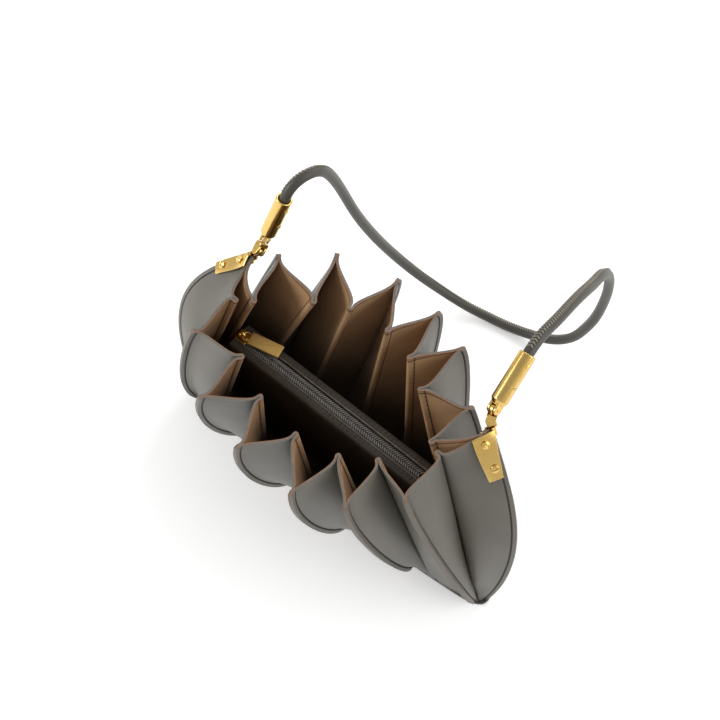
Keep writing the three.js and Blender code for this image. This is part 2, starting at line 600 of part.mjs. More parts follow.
// Link: a fork on the saddle's tongue and a tongue in the ferrule's fork
function linkSolid(lowerPin, lowerAxis, upperPin, upperAxis) {
  const run = upperPin.clone().sub(lowerPin);
  const length = run.length();
  const direction = run.divideScalar(length);
  const clear = EYE_RADIUS + FITTING_GAP;
  const fork = forkSolid(lowerPin, lowerAxis, direction, length / 2);
  const tongue = lugSolid(upperPin, upperAxis, direction.clone().negate(), length / 2, TONGUE_THICKNESS);
  const blockLength = length - 2 * clear;
  const block = new THREE.BoxGeometry(forkWidth, blockLength, 2 * EYE_RADIUS);
  const across = unitCross(lowerAxis, direction);
  const middle = along(lowerPin, direction, length / 2);
  block.applyMatrix4(new THREE.Matrix4().makeBasis(lowerAxis, direction, across).setPosition(middle));
  return fork.add(toSolid(block)).add(tongue);
}

function addStrapFittings(word, pleat, turn, boreEnd, boreMouth) {
  const sections = saddleSections(pleat, turn);
  const innerSheet = sections.map(({ inner }) => inner);
  const outerSheet = sections.map(({ outer }) => outer);
  const saddle = toSolid(wallGeometry(innerSheet, outerSheet));
  const { point, down, out } = sections[0].frame;
  const tonguePin = along(along(point, down, -TONGUE_REACH), out, SADDLE_CLEARANCE + SADDLE_PLATE / 2);
  const ferruleAxis = boreMouth.clone().sub(boreEnd).normalize();
  const forkPin = along(boreMouth, ferruleAxis, -(FERRULE_LENGTH + FERRULE_FORK));
  const linkRun = forkPin.clone().sub(tonguePin).normalize();
  const lowerAxis = unitCross(linkRun, down);
  const upperAxis = unitCross(linkRun, ferruleAxis);
  const tongueRoot = unitCross(lowerAxis, unitCross(down, lowerAxis));
  const tongueLength = TONGUE_REACH - SADDLE_OVERHANG / 2;
  const tongue = lugSolid(tonguePin, lowerAxis, tongueRoot, tongueLength, TONGUE_THICKNESS);
  addPiece(`${word}_saddle`, fromSolid(saddle.add(tongue)), GOLD);
  SADDLES[pleat].screws.forEach((screw, k) => {
    const place = saddleScrewPlace(pleat, turn, screw);
    const head = headGeometry(place, SADDLE_SCREW_RADIUS, SADDLE_SCREW_HEIGHT, SADDLE_SCREW_GAP);
    addPiece(`${word}_saddle_screw_${k + 1}`, head, GOLD);
  });
  addPiece(`${word}_link`, fromSolid(linkSolid(tonguePin, lowerAxis, forkPin, upperAxis)), GOLD);
  const pinLength = forkWidth + 2 * PIN_PROUD;
  addPiece(`${word}_link_pin_lower`, cylinderAbout(tonguePin, lowerAxis, PIN_RADIUS, pinLength), GOLD);
  addPiece(`${word}_link_pin_upper`, cylinderAbout(forkPin, upperAxis, PIN_RADIUS, pinLength), GOLD);
  addPiece(`${word}_ferrule`, fromSolid(ferruleSolid(forkPin, upperAxis, ferruleAxis)), GOLD);
  const facing = FERRULE_SCREW_FACING.clone().projectOnPlane(ferruleAxis).normalize();
  FERRULE_SCREWS.forEach((fromMouth, k) => {
    const seat = along(along(boreMouth, ferruleAxis, -fromMouth), facing, FERRULE_RADIUS);
    const place = { seat, normal: facing };
    const head = headGeometry(place, FERRULE_SCREW_RADIUS, FERRULE_SCREW_HEIGHT, FITTING_GAP);
    addPiece(`${word}_ferrule_screw_${k + 1}`, head, GOLD);
  });
}

const route = STRAP_ROUTE.map(([x, y, z]) => vec(x, y, z));
addStrapFittings('left', LEFT_END_PLEAT, 1, route.at(0), route.at(2));
addStrapFittings('right', RIGHT_END_PLEAT, -1, route.at(-1), route.at(-3));

// Strap: a round rope along its route
const strapSection = new THREE.Shape(Array.from({ length: STRAP_SIDES }, (_, k) => {
  const angle = k / STRAP_SIDES * 2 * Math.PI;
  return new THREE.Vector2(STRAP_RADIUS * Math.cos(angle), STRAP_RADIUS * Math.sin(angle));
}));
const strapGeometry = new THREE.ExtrudeGeometry(strapSection, {
  steps: STRAP_STEPS, extrudePath: new THREE.CatmullRomCurve3(route), bevelEnabled: false,
});
addPiece('strap', strapGeometry, LEATHER);

export default bag;
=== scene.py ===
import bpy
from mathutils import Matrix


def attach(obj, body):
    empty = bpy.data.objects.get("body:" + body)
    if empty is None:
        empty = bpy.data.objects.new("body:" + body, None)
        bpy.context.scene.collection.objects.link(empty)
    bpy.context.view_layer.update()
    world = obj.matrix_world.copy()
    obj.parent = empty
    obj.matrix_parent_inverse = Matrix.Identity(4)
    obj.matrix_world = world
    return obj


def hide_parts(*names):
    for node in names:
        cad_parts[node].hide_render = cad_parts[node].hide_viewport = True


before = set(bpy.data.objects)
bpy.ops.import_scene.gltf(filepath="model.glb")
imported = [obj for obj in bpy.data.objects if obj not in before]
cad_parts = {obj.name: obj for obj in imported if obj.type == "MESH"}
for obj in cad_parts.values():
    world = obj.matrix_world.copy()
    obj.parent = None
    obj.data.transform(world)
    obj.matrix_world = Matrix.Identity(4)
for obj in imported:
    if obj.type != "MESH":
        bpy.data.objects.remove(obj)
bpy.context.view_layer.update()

from types import SimpleNamespace

import bpy
import numpy as np
from mathutils import Matrix

MM = 0.001
ALONG_BAG, TO_BACK, UPWARD = np.eye(3)

# Leather measures, as in the part's source but for the feet and the sole's rim, which sit closer here
WALL = 1.5 * MM
LAYER = 0.9 * MM
FIN_LAYER = 0.74 * MM
FIN = 3.5 * MM
FIN_AT_FOOT = 2.4 * MM
TUCK_AT_FOOT = 1.2 * MM
TAPER_START = 0.8
FIN_ROUND = 1.9 * MM
FIN_ROUND_SHARE = 0.7
FIN_ROUND_DOWN = 0.06
PUFF = 1.6 * MM
END_PUFF_SHARE = 0.4
END_CLOSING = 3.6 * MM
END_CLOSED_TO = 0.6
PANEL_LEAN = 0.2
LEAN_LOST_AT_FOOT = 0.95
TUCK_BEND_SHARE = 0.8
TUCK_RUN_SHARE = 0.7
DENT_DEPTH = 0.3 * MM
DENT_SEED = 7
DENT_LENGTHS = (0.11, 0.04)
DENT_STEP_PER_GORE = 0.37
DENT_STEP_PER_LEAF = 2.1
DENT_FALL = 0.16
DENTED_FROM = 0.12
MOUTH = 153 * MM
LEFT_END_MOUTH = 155 * MM
RIGHT_END_MOUTH = 160 * MM
SOLE = np.array([123.5, 14.0]) * MM
SOLE_THICKNESS = 2.4 * MM
SOLE_RIM = 0.8 * MM
SOLE_EASE = 0.45 * MM
BOARD = 0.9 * MM
BOARD_EASE = 0.15 * MM
RIDGE_FOOT = 2.7 * MM
VALLEY_FOOT = 2.9 * MM
SIDE_FLARE = np.radians(25)
FLARE_X_SHARE = 0.8
FLARE_REACH = 24 * MM
FOOT_Y_SHARE = 9
FOOT_REACH = 18 * MM
END_FLARE = np.array([0.66, -0.33, -0.67])
END_BELLY = np.array([26, 0, 114]) * MM

# Stitched lines: where the fin's seam lies, in millimetres from the cut edge, and its groove
SEAM_AT = 2.75
GROOVE_DEPTH = 0.28 * MM
GROOVE_HALF = 0.4
BEAD_LIFT = 0.02 * MM

# Rounding of cut leather edges, and distances in millimetres for what has no seam or rim of its own
EDGE_ROUND = 0.28 * MM
POCKET_EDGE_ROUND = 0.3 * MM
FAR_FROM_SEAM = 40.0
DEEP_IN_BAG = 120.0
FOLD_FROM_EDGE = 30.0

# Pleats, counter-clockwise from the left end: ridge tip at the mouth, its foot as shares of the sole, and the
# valley tuck that follows it
PLEATS = np.array([
    (-85, 31, -1.00, 0.00, -71, 2),
    (-78, -29, -0.92, -0.61, -44, -22.5),
    (-46, -57, -0.58, -0.70, -20, -34.5),
    (-10, -67, -0.19, -1.00, 9.5, -39.5),
    (30, -69, 0.19, -1.00, 34.5, -35),
    (57, -57, 0.58, -0.70, 52, -24),
    (79, -34, 0.93, -0.42, 73.4, -1.2),
    (90, 25.5, 1.00, 0.12, 67.7, 0.2),
    (73, 33, 0.92, 0.61, 43, 22),
    (47, 60, 0.58, 0.70, 26.5, 34),
    (22, 70, 0.19, 1.00, 6.5, 40),
    (-10, 73, -0.19, 1.00, -18.5, 38.5),
    (-49, 64, -0.58, 0.70, -36.5, 28.5),
    (-75, 42, -0.92, 0.61, -63, 7),
], dtype=[(key, float) for key in ("x", "y", "foot_x", "foot_y", "valley_x", "valley_y")])
LEFT_END, RIGHT_END = 0, 7
IS_END = np.isin(np.arange(len(PLEATS)), [LEFT_END, RIGHT_END])

# Strap route from the bottom of the left bore to the bottom of the right one, as in the part's source
STRAP_RADIUS = 3.25 * MM
STRAP_ROUTE = MM * np.array([
    (-80.4, 44, 174.6), (-78.2, 47.5, 184.8), (-76, 51, 195), (-74.8, 55, 201.2),
    (-72.9, 61.6, 205), (-71, 68.8, 204.9), (-70.2, 75.6, 200.4), (-70.3, 83.6, 188.4),
    (-70.9, 94.7, 162.6), (-69.9, 103.3, 137.6), (-68, 112.4, 113.3), (-64.9, 122.5, 89.2),
    (-60.3, 132.2, 67.7), (-53.4, 140.9, 49.2), (-44.8, 148.3, 34.3), (-35.3, 155.3, 21.6),
    (-24.2, 160.6, 12.6), (-12, 164.7, 6.9), (0.8, 168.1, 4.2), (13.9, 170.6, 3.6),
    (27.7, 173.2, 5), (41.3, 174.8, 9.9), (53.4, 176, 18.3), (63.1, 177.5, 30.7),
    (68.9, 178, 46.3), (73.3, 177.6, 64.4), (76, 176, 86.5), (77.9, 171.2, 110.3),
    (78.2, 163.9, 133.9), (78.5, 151.9, 149.5), (80.5, 136.3, 160.3), (82.1, 120.5, 170.9),
    (83.1, 103.6, 178.2), (83.9, 88.1, 183.2), (83.7, 75, 185.4), (84.2, 62, 183.3),
    (84.8, 52.3, 178.2), (85.4, 42.6, 173.1),
])


# Small array words

def unit(vectors):
    """Each vector divided by its own length."""
    return vectors / np.linalg.norm(vectors, axis=-1, keepdims=True)


def smooth(value, low, high):
    """The share s of the way from low to high, held to 0..1, eased as 3 s squared minus 2 s cubed."""
    share = np.clip((value - low) / (high - low), 0, 1)
    return share * share * (3 - 2 * share)


def bezier(controls, t):
    """Cubic curves: four control points weighted by the Bernstein shares of t, and their directions, which
    are the differences of the control points weighted by the square Bernstein shares."""
    s = 1 - t
    shares = np.stack([s ** 3, 3 * t * s ** 2, 3 * t ** 2 * s, t ** 3])
    place = np.einsum("it,...ic->...tc", shares, controls)
    steps = np.diff(controls, axis=-2)
    heading = np.einsum("it,...ic->...tc", np.stack([s ** 2, 2 * t * s, t ** 2]), steps)
    return place, heading


def bent(before, corner, after, s):
    """A quadratic curve from one point to another that bends towards a corner, at the shares s."""
    return (1 - s) ** 2 * before + 2 * s * (1 - s) * corner + s ** 2 * after


def blend_line(first, second, shares):
    """Points on the straight way from first to second at the given shares."""
    return first[..., None, :] + (second - first)[..., None, :] * shares[:, None]


def soft_waves(u, v, seed, longest, shortest, count=9, gain=1.6):
    """A smooth uneven height of about -1 to 1: the mean of sine waves in seeded directions, with lengths
    spread between the longest and the shortest, times a gain."""
    rng = np.random.default_rng(seed)
    turn = rng.uniform(0, 2 * np.pi, count)
    phase = rng.uniform(0, 2 * np.pi, count)
    pace = 2 * np.pi / np.geomspace(longest, shortest, count)
    waves = np.sin(u[..., None] * pace * np.cos(turn) + v[..., None] * pace * np.sin(turn) + phase)
    return waves.mean(axis=-1) * gain


def lengths_along(path):
    """How far each point of a polyline lies from its first one, along the polyline."""
    return np.r_[0, np.cumsum(np.linalg.norm(np.diff(path, axis=0), axis=1))]


def even_stops(path, pitch):
    """Distances at equal steps along a polyline, about one pitch apart, and the distances of its own
    points."""
    lengths = lengths_along(path)
    count = max(int(lengths[-1] / pitch), 2)
    return (np.arange(count) + 0.5) / count * lengths[-1], lengths


def read_at(stops, lengths, fields):
    """Each column of fields, which is known at lengths, read at the stops by straight interpolation."""
    return np.stack([np.interp(stops, lengths, column) for column in fields.T], axis=-1)


def spline(points, per_span):
    """A centripetal cubic spline through all the points, with natural ends: each span is a cubic whose second
    differences solve one linear system."""
    gaps = np.linalg.norm(np.diff(points, axis=0), axis=1) ** 0.5
    count = len(points)
    matrix = np.eye(count)
    right = np.zeros((count, 3))
    inner = np.arange(1, count - 1)
    matrix[inner, inner - 1] = gaps[:-1]
    matrix[inner, inner] = 2 * (gaps[:-1] + gaps[1:])
    matrix[inner, inner + 1] = gaps[1:]
    slope = np.diff(points, axis=0) / gaps[:, None]
    right[1:-1] = 6 * np.diff(slope, axis=0)
    bend = np.linalg.solve(matrix, right)
    span = np.r_[np.repeat(np.arange(count - 1), per_span), count - 2]
    b = np.r_[np.tile(np.arange(per_span) / per_span, count - 1), 1.0][:, None]
    a = 1 - b
    curve = a * points[span] + b * points[span + 1]
    curve += ((a ** 3 - a) * bend[span] + (b ** 3 - b) * bend[span + 1]) * gaps[span][:, None] ** 2 / 6
    return curve


def ring_angles(sides):
    """Equal steps round a full turn."""
    return np.arange(sides) / sides * 2 * np.pi


def spokes(angle, across, third):
    """Cosine of the angle on one direction plus sine of it on the other."""
    return np.cos(angle)[..., None] * across + np.sin(angle)[..., None] * third


def turning_frame(axis):
    """An axis of length one and two directions square to it."""
    axis = unit(np.asarray(axis, float))
    across = unit(np.cross(axis, [0.31, 0.52, 0.8]))
    return axis, across, np.cross(axis, across)


# Meshes

def grid_faces(rows, columns, start=0, wrap_rows=False, wrap_columns=False):
    """Quads between neighbouring rows and columns of a grid that is stored row by row, facing along row step
    cross column step."""
    r = np.arange(rows if wrap_rows else rows - 1)[:, None]
    c = np.arange(columns if wrap_columns else columns - 1)[None, :]
    here = r * columns
    below = (r + 1) % rows * columns
    c2 = (c + 1) % columns
    quad = np.stack(np.broadcast_arrays(here + c, below + c, below + c2, here + c2), axis=-1)
    return start + quad.reshape(-1, 4)


def tube_faces(rows, sides):
    """Walls and two flat ends of a closed tube of rings that turn counter-clockwise about its run."""
    ring = np.arange(sides)
    walls = grid_faces(rows, sides, wrap_columns=True)[:, ::-1]
    return [walls, np.stack([ring[::-1], (rows - 1) * sides + ring])]


def poled_faces(rows, sides, dome):
    """Walls of a stack of rings and the fans to its two poles, which are stored after it. The rings of a
    dome go down from its top, and other stacks go up."""
    near = np.arange(sides)
    far = (near + 1) % sides
    walls = grid_faces(rows, sides, wrap_columns=True)
    if not dome:
        near, far = far, near
        walls = walls[:, ::-1]
    pole = np.full(sides, rows * sides)
    last = (rows - 1) * sides
    return [walls, np.stack([pole, near, far], axis=1), np.stack([pole + 1, last + far, last + near], axis=1)]


def sheet_faces(rows, columns):
    """A closed wall of two grids stored one after the other: outer skin, inner skin turned round, and the
    four rims between them. Returns the three groups."""
    size = rows * columns
    outer = grid_faces(rows, columns)
    inner = grid_faces(rows, columns, size)[:, ::-1]
    r = np.arange(rows - 1) * columns
    c = np.arange(columns - 1)
    d = c + (rows - 1) * columns
    top = np.stack([c, c + 1, size + c + 1, size + c], axis=1)
    bottom = np.stack([d + 1, d, size + d, size + d + 1], axis=1)
    left = np.stack([r, size + r, size + r + columns, r + columns], axis=1)
    right = left[:, ::-1] + columns - 1
    return outer, inner, np.concatenate([top, bottom, left, right])


def sheet_normals(grid):
    """Outward directions of a grid: row step cross column step."""
    return unit(np.cross(np.gradient(grid, axis=0), np.gradient(grid, axis=1)))


def wall_part(grid, thickness):
    """A closed wall: a middle surface plus and minus half its thickness along its normals."""
    shift = sheet_normals(grid) * thickness / 2
    return np.stack([grid + shift, grid - shift]), sheet_faces(*grid.shape[:2])


def link_object(name, data):
    """A new object of the scene."""
    obj = bpy.data.objects.new(name, data)
    bpy.context.scene.collection.objects.link(obj)
    return obj


def add_piece(name, finishes, parts, body="bag", replaces=(), attributes=None, round_edges=0):
    """Makes one object of its parts, rides it on its body and lets it stand for CAD nodes. A part is its
    points, blocks of faces that count them from zero and, where it is not the first one, the finish of each
    block."""
    points = []
    faces = []
    slots = []
    count = 0
    for places, blocks, *finish in parts:
        places = np.asarray(places, float).reshape(-1, 3)
        for block, number in zip(blocks, np.broadcast_to(finish[0] if finish else 0, len(blocks))):
            faces.extend((block + count).tolist())
            slots.append(np.full(len(block), number, np.int32))
        points.append(places)
        count += len(places)
    mesh = bpy.data.meshes.new(name)
    mesh.from_pydata(np.concatenate(points).tolist(), [], faces)
    for finish in finishes:
        mesh.materials.append(finish)
    mesh.polygons.foreach_set("material_index", np.concatenate(slots))
    mesh.polygons.foreach_set("use_smooth", np.ones(len(mesh.polygons), bool))
    for key, values in (attributes or {}).items():
        layer = mesh.attributes.new(key, "FLOAT", "POINT")
        layer.data.foreach_set("value", np.array(np.broadcast_to(np.ravel(values), count), np.float32))
    mesh.update()
    obj = link_object(name, mesh)
    if round_edges:
        bevel = obj.modifiers.new("round_edges", "BEVEL")
        bevel.width = round_edges
        bevel.segments = 2
        bevel.limit_method = "ANGLE"
        bevel.angle_limit = np.radians(60)
        bevel.harden_normals = True
    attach(obj, body)
    if replaces:
        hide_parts(*replaces)
    return obj


def lathe(profile, sides, centre, axis):
    """A closed solid of revolution: radius and height rows turned about an axis through centre. Rows of
    radius zero at both ends become poles."""
    axis, across, third = turning_frame(axis)
    radius, height = np.asarray(profile, float).T[..., None, None]
    rings = centre + radius[1:-1] * spokes(ring_angles(sides), across, third) + height[1:-1] * axis
    poles = centre + height[[0, -1], 0] * axis
    return np.concatenate([rings.reshape(-1, 3), poles]), poled_faces(len(rings), sides, dome=False)


def facing_frames(path, facing):
    """Frames along a path: its direction, the part of the facing directions that is square to it, and the
    third."""
    along = unit(np.gradient(path, axis=0))
    side = unit(facing - along * (along * facing).sum(axis=1, keepdims=True))
    return along, side, np.cross(along, side)


def stitch_beads(places, along, normal, length, radius):
    """Short thread beads: a tube of five rings and six sides whose ends dip into the leather, set at each
    place along its own direction and normal. Returns points and faces of all of them."""
    sides = 6
    x = np.array([-0.5, -0.36, 0, 0.36, 0.5])[:, None] * length
    r = np.array([0.45, 0.9, 1.0, 0.9, 0.45])[:, None] * radius
    lift = np.array([-0.9, 0.0, 0.35, 0.0, -0.9])[:, None] * radius
    angle = ring_angles(sides)
    local = np.stack(np.broadcast_arrays(x, r * np.cos(angle), r * np.sin(angle) + lift), axis=-1)
    local = local.reshape(-1, 3)
    side = unit(np.cross(normal, along))
    basis = np.stack([unit(along), side, unit(np.cross(along, side))], axis=1)
    points = places[:, None, :] + np.einsum("vk,mkc->mvc", local, basis)
    shift = (np.arange(len(places)) * len(local))[:, None, None]
    return points, [(block + shift).reshape(-1, block.shape[1]) for block in tube_faces(len(x), sides)]


def path_beads(path, normals, pitch, length, radius):
    """Stitches along a path at equal steps, each along the path and standing on its normals."""
    stops, lengths = even_stops(path, pitch)
    run = unit(read_at(stops, lengths, np.gradient(path, axis=0)))
    normal = unit(read_at(stops, lengths, normals))
    return stitch_beads(read_at(stops, lengths, path), run, normal, length, radius)


# Shader maths

class Flow:
    """A socket in a material. Sums, differences, products and quotients with numbers or other flows add Math
    nodes, and node() adds any other node."""

    def __init__(self, tree, socket=None):
        self.tree = tree
        self.socket = socket

    def node(self, kind, settings, sockets, output=0):
        """Adds a node: its settings first, then the values or links of its sockets."""
        made = self.tree.nodes.new(kind)
        for key, value in settings.items():
            setattr(made, key, value)
        for key, value in sockets.items():
            if isinstance(value, Flow):
                self.tree.links.new(value.socket, made.inputs[key])
            else:
                made.inputs[key].default_value = value
        return Flow(self.tree, made.outputs[output])

    def math(self, operation, first, second=0.0):
        return self.node("ShaderNodeMath", {"operation": operation}, {0: first, 1: second})

    def __add__(self, other):
        return self.math("ADD", self, other)

    def __radd__(self, other):
        return self.math("ADD", other, self)

    def __sub__(self, other):
        return self.math("SUBTRACT", self, other)

    def __rsub__(self, other):
        return self.math("SUBTRACT", other, self)

    def __mul__(self, other):
        return self.math("MULTIPLY", self, other)

    def __rmul__(self, other):
        return self.math("MULTIPLY", other, self)


def tint(red, green, blue):
    """A colour from 0..255 display values: each is turned to linear light by the usual display curve."""
    shown = np.array([red, green, blue]) / 255
    linear = np.where(shown <= 0.04045, shown / 12.92, ((shown + 0.055) / 1.055) ** 2.4)
    return (*linear.tolist(), 1.0)


class Finish:
    """A material under way: its tree, its surface shader, and the words that the finishes below share."""

    def __init__(self, name, **fixed):
        self.material = bpy.data.materials.new(name)
        self.material.use_nodes = True
        self.tree = self.material.node_tree
        self.shader = self.tree.nodes["Principled BSDF"]
        self.flow = Flow(self.tree)
        for key, value in fixed.items():
            self.shader.inputs[key.replace("_", " ")].default_value = value
        self.place = self.flow.node("ShaderNodeTexCoord", {}, {}, "Object")

    def attribute(self, name):
        return self.flow.node("ShaderNodeAttribute", {"attribute_name": name}, {}, "Fac")

    def noise(self, scale, detail=3.0, roughness=0.5, vector=None):
        return self.flow.node("ShaderNodeTexNoise", {}, {
            "Vector": vector or self.place, "Scale": scale, "Detail": detail, "Roughness": roughness})

    def cells(self, scale):
        return self.flow.node("ShaderNodeTexVoronoi", {}, {"Vector": self.place, "Scale": scale}, "Distance")

    def ramp(self, value, low, high, start=0.0, end=1.0):
        return self.flow.node("ShaderNodeMapRange", {"clamp": True}, {
            "Value": value, "From Min": low, "From Max": high, "To Min": start, "To Max": end})

    def stripe(self, value, centre, inner, outer, share=1.0):
        """The share within the inner distance of the centre, which fades out at the outer distance."""
        return self.ramp(self.flow.math("ABSOLUTE", value - centre), inner, outer, share, 0.0)

    def mix(self, share, first, second):
        return self.flow.node("ShaderNodeMix", {"data_type": "RGBA"}, {0: share, 6: first, 7: second}, 2)

    def bump(self, height, strength, distance, normal=None):
        sockets = {"Height": height, "Strength": strength, "Distance": distance}
        if normal:
            sockets["Normal"] = normal
        return self.flow.node("ShaderNodeBump", {}, sockets)

    def wear(self, **links):
        """Links what varies to the shader's sockets and gives the finished material."""
        for key, value in links.items():
            self.tree.links.new(value.socket, self.shader.inputs[key.replace("_", " ")])
        return self.material


def smooth_leather(name, light, dark, edge):
    """Satin leather: two close tones in soft clouds, a fine pebbled grain in the bump, a paler fin edge, a
    dark line where the fin is stitched, and painted shade that darkens it towards the tuck, more so further
    down. Where a piece has no tuck, all of it gets this painted shade."""
    f = Finish(name, Specular_IOR_Level=0.42)
    clouds = f.ramp(f.noise(22.0, 4.0), 0.35, 0.68)
    pores = f.ramp(f.cells(1500.0), 0.05, 0.5)
    fin = f.attribute("fin")
    rim = f.attribute("rim")
    base = f.mix(clouds, dark, light)
    base = f.mix(f.ramp(fin, 2.1, 2.6, 1.0, 0.0) * 0.55, base, edge)
    base = f.mix(f.ramp(rim, 0.7, 1.1, 1.0, 0.0) * 0.5, base, edge)
    seam = f.stripe(fin, SEAM_AT, 0.3, 0.75)
    base = f.mix(seam * 0.9, base, tint(18, 16, 14))
    # Painted shade: a dark tint near the tuck's crease, stronger further down the bag, and over all of a
    # piece with no tuck
    crease_shade = f.ramp(f.attribute("tuck"), 1.0, 18.0, 0.62, 0.0) * f.ramp(rim, 15.0, 125.0, 0.35, 1.0)
    base = f.mix(crease_shade, base, tint(34, 31, 25))
    grain = f.bump(pores, 0.16, 0.0002)
    grain = f.bump(f.noise(420.0, 2.0), 0.1, 0.0004, grain)
    rough = 0.40 + clouds * 0.08 + seam * 0.3 + (1 - pores) * 0.06
    return f.wear(Base_Color=base, Roughness=rough, Normal=grain)


def suede_lining(name, light, dark, edge):
    """Napped lining: brushed tan patches, a fibre bump, a warm rim at the mouth with a dark glue line under
    it, a dark stitch line along the tuck, and painted shade that darkens it deeper in the bag."""
    f = Finish(name, Specular_IOR_Level=0.15, Roughness=0.9, Sheen_Weight=0.06, Sheen_Roughness=0.6)
    brushed = f.ramp(f.noise(46.0, 5.0, 0.6), 0.3, 0.7)
    fibre = f.noise(1900.0, 2.0, 0.7)
    rim = f.attribute("rim")
    base = f.mix(brushed, dark, light)
    base = f.mix(f.ramp(fibre, 0.4, 0.65) * 0.25, base, dark)
    base = f.mix(f.ramp(rim, 0.7, 1.0, 1.0, 0.0), base, edge)
    base = f.mix(f.stripe(rim, 1.5, 0.25, 0.55, 0.8), base, tint(44, 31, 23))
    # Painted shade: darker with distance down from the mouth, for the dark deep inside the bag
    base = f.mix(f.ramp(rim, 24.0, 90.0, 0.0, 0.8), base, tint(34, 27, 19))
    base = f.mix(f.stripe(f.attribute("tuck"), 4.2, 0.3, 0.8, 0.8), base, tint(32, 24, 19))
    return f.wear(Base_Color=base, Normal=f.bump(fibre, 0.25, 0.0003))


def painted_edge(name, outside, inside):
    """Cut leather edge: grey paint towards the outer skin, a warm raw layer towards the lining, slightly
    uneven."""
    f = Finish(name, Roughness=0.6)
    uneven = f.noise(260.0, 3.0)
    ply = f.ramp(f.attribute("ply") + (uneven - 0.5) * 0.35, 0.72, 0.92)
    at_mouth = f.ramp(f.attribute("rim"), 0.5, 1.5, 1.0, 0.0)
    base = f.mix(ply * at_mouth, outside, inside)
    base = f.mix(f.ramp(f.noise(900.0, 2.0), 0.45, 0.7) * 0.3, base, tint(60, 50, 44))
    return f.wear(Base_Color=base, Normal=f.bump(uneven, 0.2, 0.0003))


def waxed_thread(name, light, dark):
    """Waxed thread: fine specks of two tones, raised in the bump."""
    f = Finish(name, Roughness=0.6)
    specks = f.noise(1600.0, 1.0)
    return f.wear(Base_Color=f.mix(specks, dark, light), Normal=f.bump(specks, 0.3, 0.0002))


def pocket_leather(name, light, dark, edge):
    """Soft dark leather: cloudy brown with a fine grain, rubbed paler along the edges of its facing."""
    f = Finish(name, Specular_IOR_Level=0.35)
    clouds = f.ramp(f.noise(36.0, 4.0), 0.3, 0.7)
    pores = f.ramp(f.cells(1700.0), 0.05, 0.5)
    worn = f.ramp(f.attribute("hem"), 0.35, 0.8, 1.0, 0.0) * f.ramp(f.noise(300.0, 3.0), 0.3, 0.6, 0.4, 1.0)
    base = f.mix(worn, f.mix(clouds, dark, light), edge)
    return f.wear(Base_Color=base, Roughness=0.5 + clouds * 0.12, Normal=f.bump(pores, 0.18, 0.0002))


def woven_tape(name, light, dark):
    """Zip tape: a fine weave, the product of sine threads along and across the tape."""
    f = Finish(name, Roughness=0.9)
    along, across = (
        f.flow.math("SINE", f.flow.node("ShaderNodeSeparateXYZ", {}, {"Vector": f.place}, axis) * pace)
        for axis, pace in (("X", 7800.0), ("Y", 9000.0)))
    weave = f.ramp(along * across, -0.6, 0.6)
    return f.wear(Base_Color=f.mix(weave, dark, light), Normal=f.bump(weave, 0.4, 0.0002))


def moulded_teeth(name, light, dark):
    """Moulded plastic with a slightly worn sheen."""
    f = Finish(name, Specular_IOR_Level=0.5)
    worn = f.noise(700.0, 3.0)
    return f.wear(Base_Color=f.mix(worn, dark, light), Roughness=0.3 + worn * 0.2)


def polished_gold(name, light, dark, polish):
    """Gold-coloured plating of one roughness: fine hair scratches in it and a faint cloud of tone."""
    f = Finish(name, Metallic=1.0)
    clouds = f.noise(60.0, 3.0)
    stretch = f.flow.node("ShaderNodeMapping", {}, {"Vector": f.place, "Scale": (900.0, 900.0, 120.0)})
    hair = f.noise(1.0, 2.0, 0.6, stretch)
    rough = polish + f.ramp(hair, 0.45, 0.8) * 0.06
    return f.wear(Base_Color=f.mix(clouds, dark, light), Roughness=rough, Normal=f.bump(hair, 0.006, 0.0001))


def plain_floor(name, light, dark):
    """Pale studio floor: one tone with a barely seen cloud."""
    f = Finish(name, Roughness=0.9, Specular_IOR_Level=0.1, Emission_Color=(1, 1, 1, 1),
               Emission_Strength=0.16)
    return f.wear(Base_Color=f.mix(f.noise(3.0, 2.0), dark, light))


OUTER = smooth_leather("outer_leather", tint(102, 98, 89), tint(90, 86, 78), tint(106, 101, 93))
STRAP_LEATHER = smooth_leather("strap_leather", tint(84, 80, 72), tint(70, 67, 60), tint(90, 86, 79))
SOLE_LEATHER = smooth_leather("sole_leather", tint(92, 88, 82), tint(80, 77, 71), tint(100, 96, 90))
LINING = suede_lining("tan_lining", tint(172, 137, 99), tint(150, 117, 83), tint(138, 102, 74))
EDGE = painted_edge("painted_edge", tint(104, 97, 88), tint(150, 98, 64))
THREAD = waxed_thread("dark_thread", tint(52, 47, 42), tint(24, 21, 19))
STRAP_THREAD = waxed_thread("strap_thread", tint(158, 152, 138), tint(104, 98, 88))
BROWN_THREAD = waxed_thread("brown_thread", tint(96, 72, 54), tint(58, 42, 32))
POCKET = pocket_leather("pocket_leather", tint(70, 62, 54), tint(54, 47, 40), tint(124, 114, 101))
TAPE = woven_tape("zip_tape", tint(44, 37, 31), tint(20, 17, 14))
TEETH = moulded_teeth("zip_teeth", tint(150, 146, 142), tint(96, 92, 89))
GOLD = polished_gold("polished_gold", tint(224, 192, 120), tint(206, 168, 92), 0.17)
SATIN_GOLD = polished_gold("satin_gold", tint(232, 200, 128), tint(216, 178, 102), 0.4)
FLOOR = plain_floor("pale_floor", tint(253, 253, 253), tint(251, 251, 251))


# Camera at the photograph's angle, and soft studio light
CAMERA_TURN = {"azimuth": 38.56, "elevation": 60.0, "roll": 0.81}
CAMERA_TARGET = np.array([7.0, 16.4, 152.9]) * MM
CAMERA_DISTANCE = 693.8 * MM
CAMERA_SENSOR = 36
CAMERA_LENS = 62.5
LIGHT_TARGET = np.array([0, 0, 0.08])
FLOOR_HALF = 4
FLOOR_LINES = 9
FLOOR_LEVEL = -0.4 * MM
SKY = {"From Min": 0.45, "From Max": 0.95, "To Min": 0.76, "To Max": 0.5}


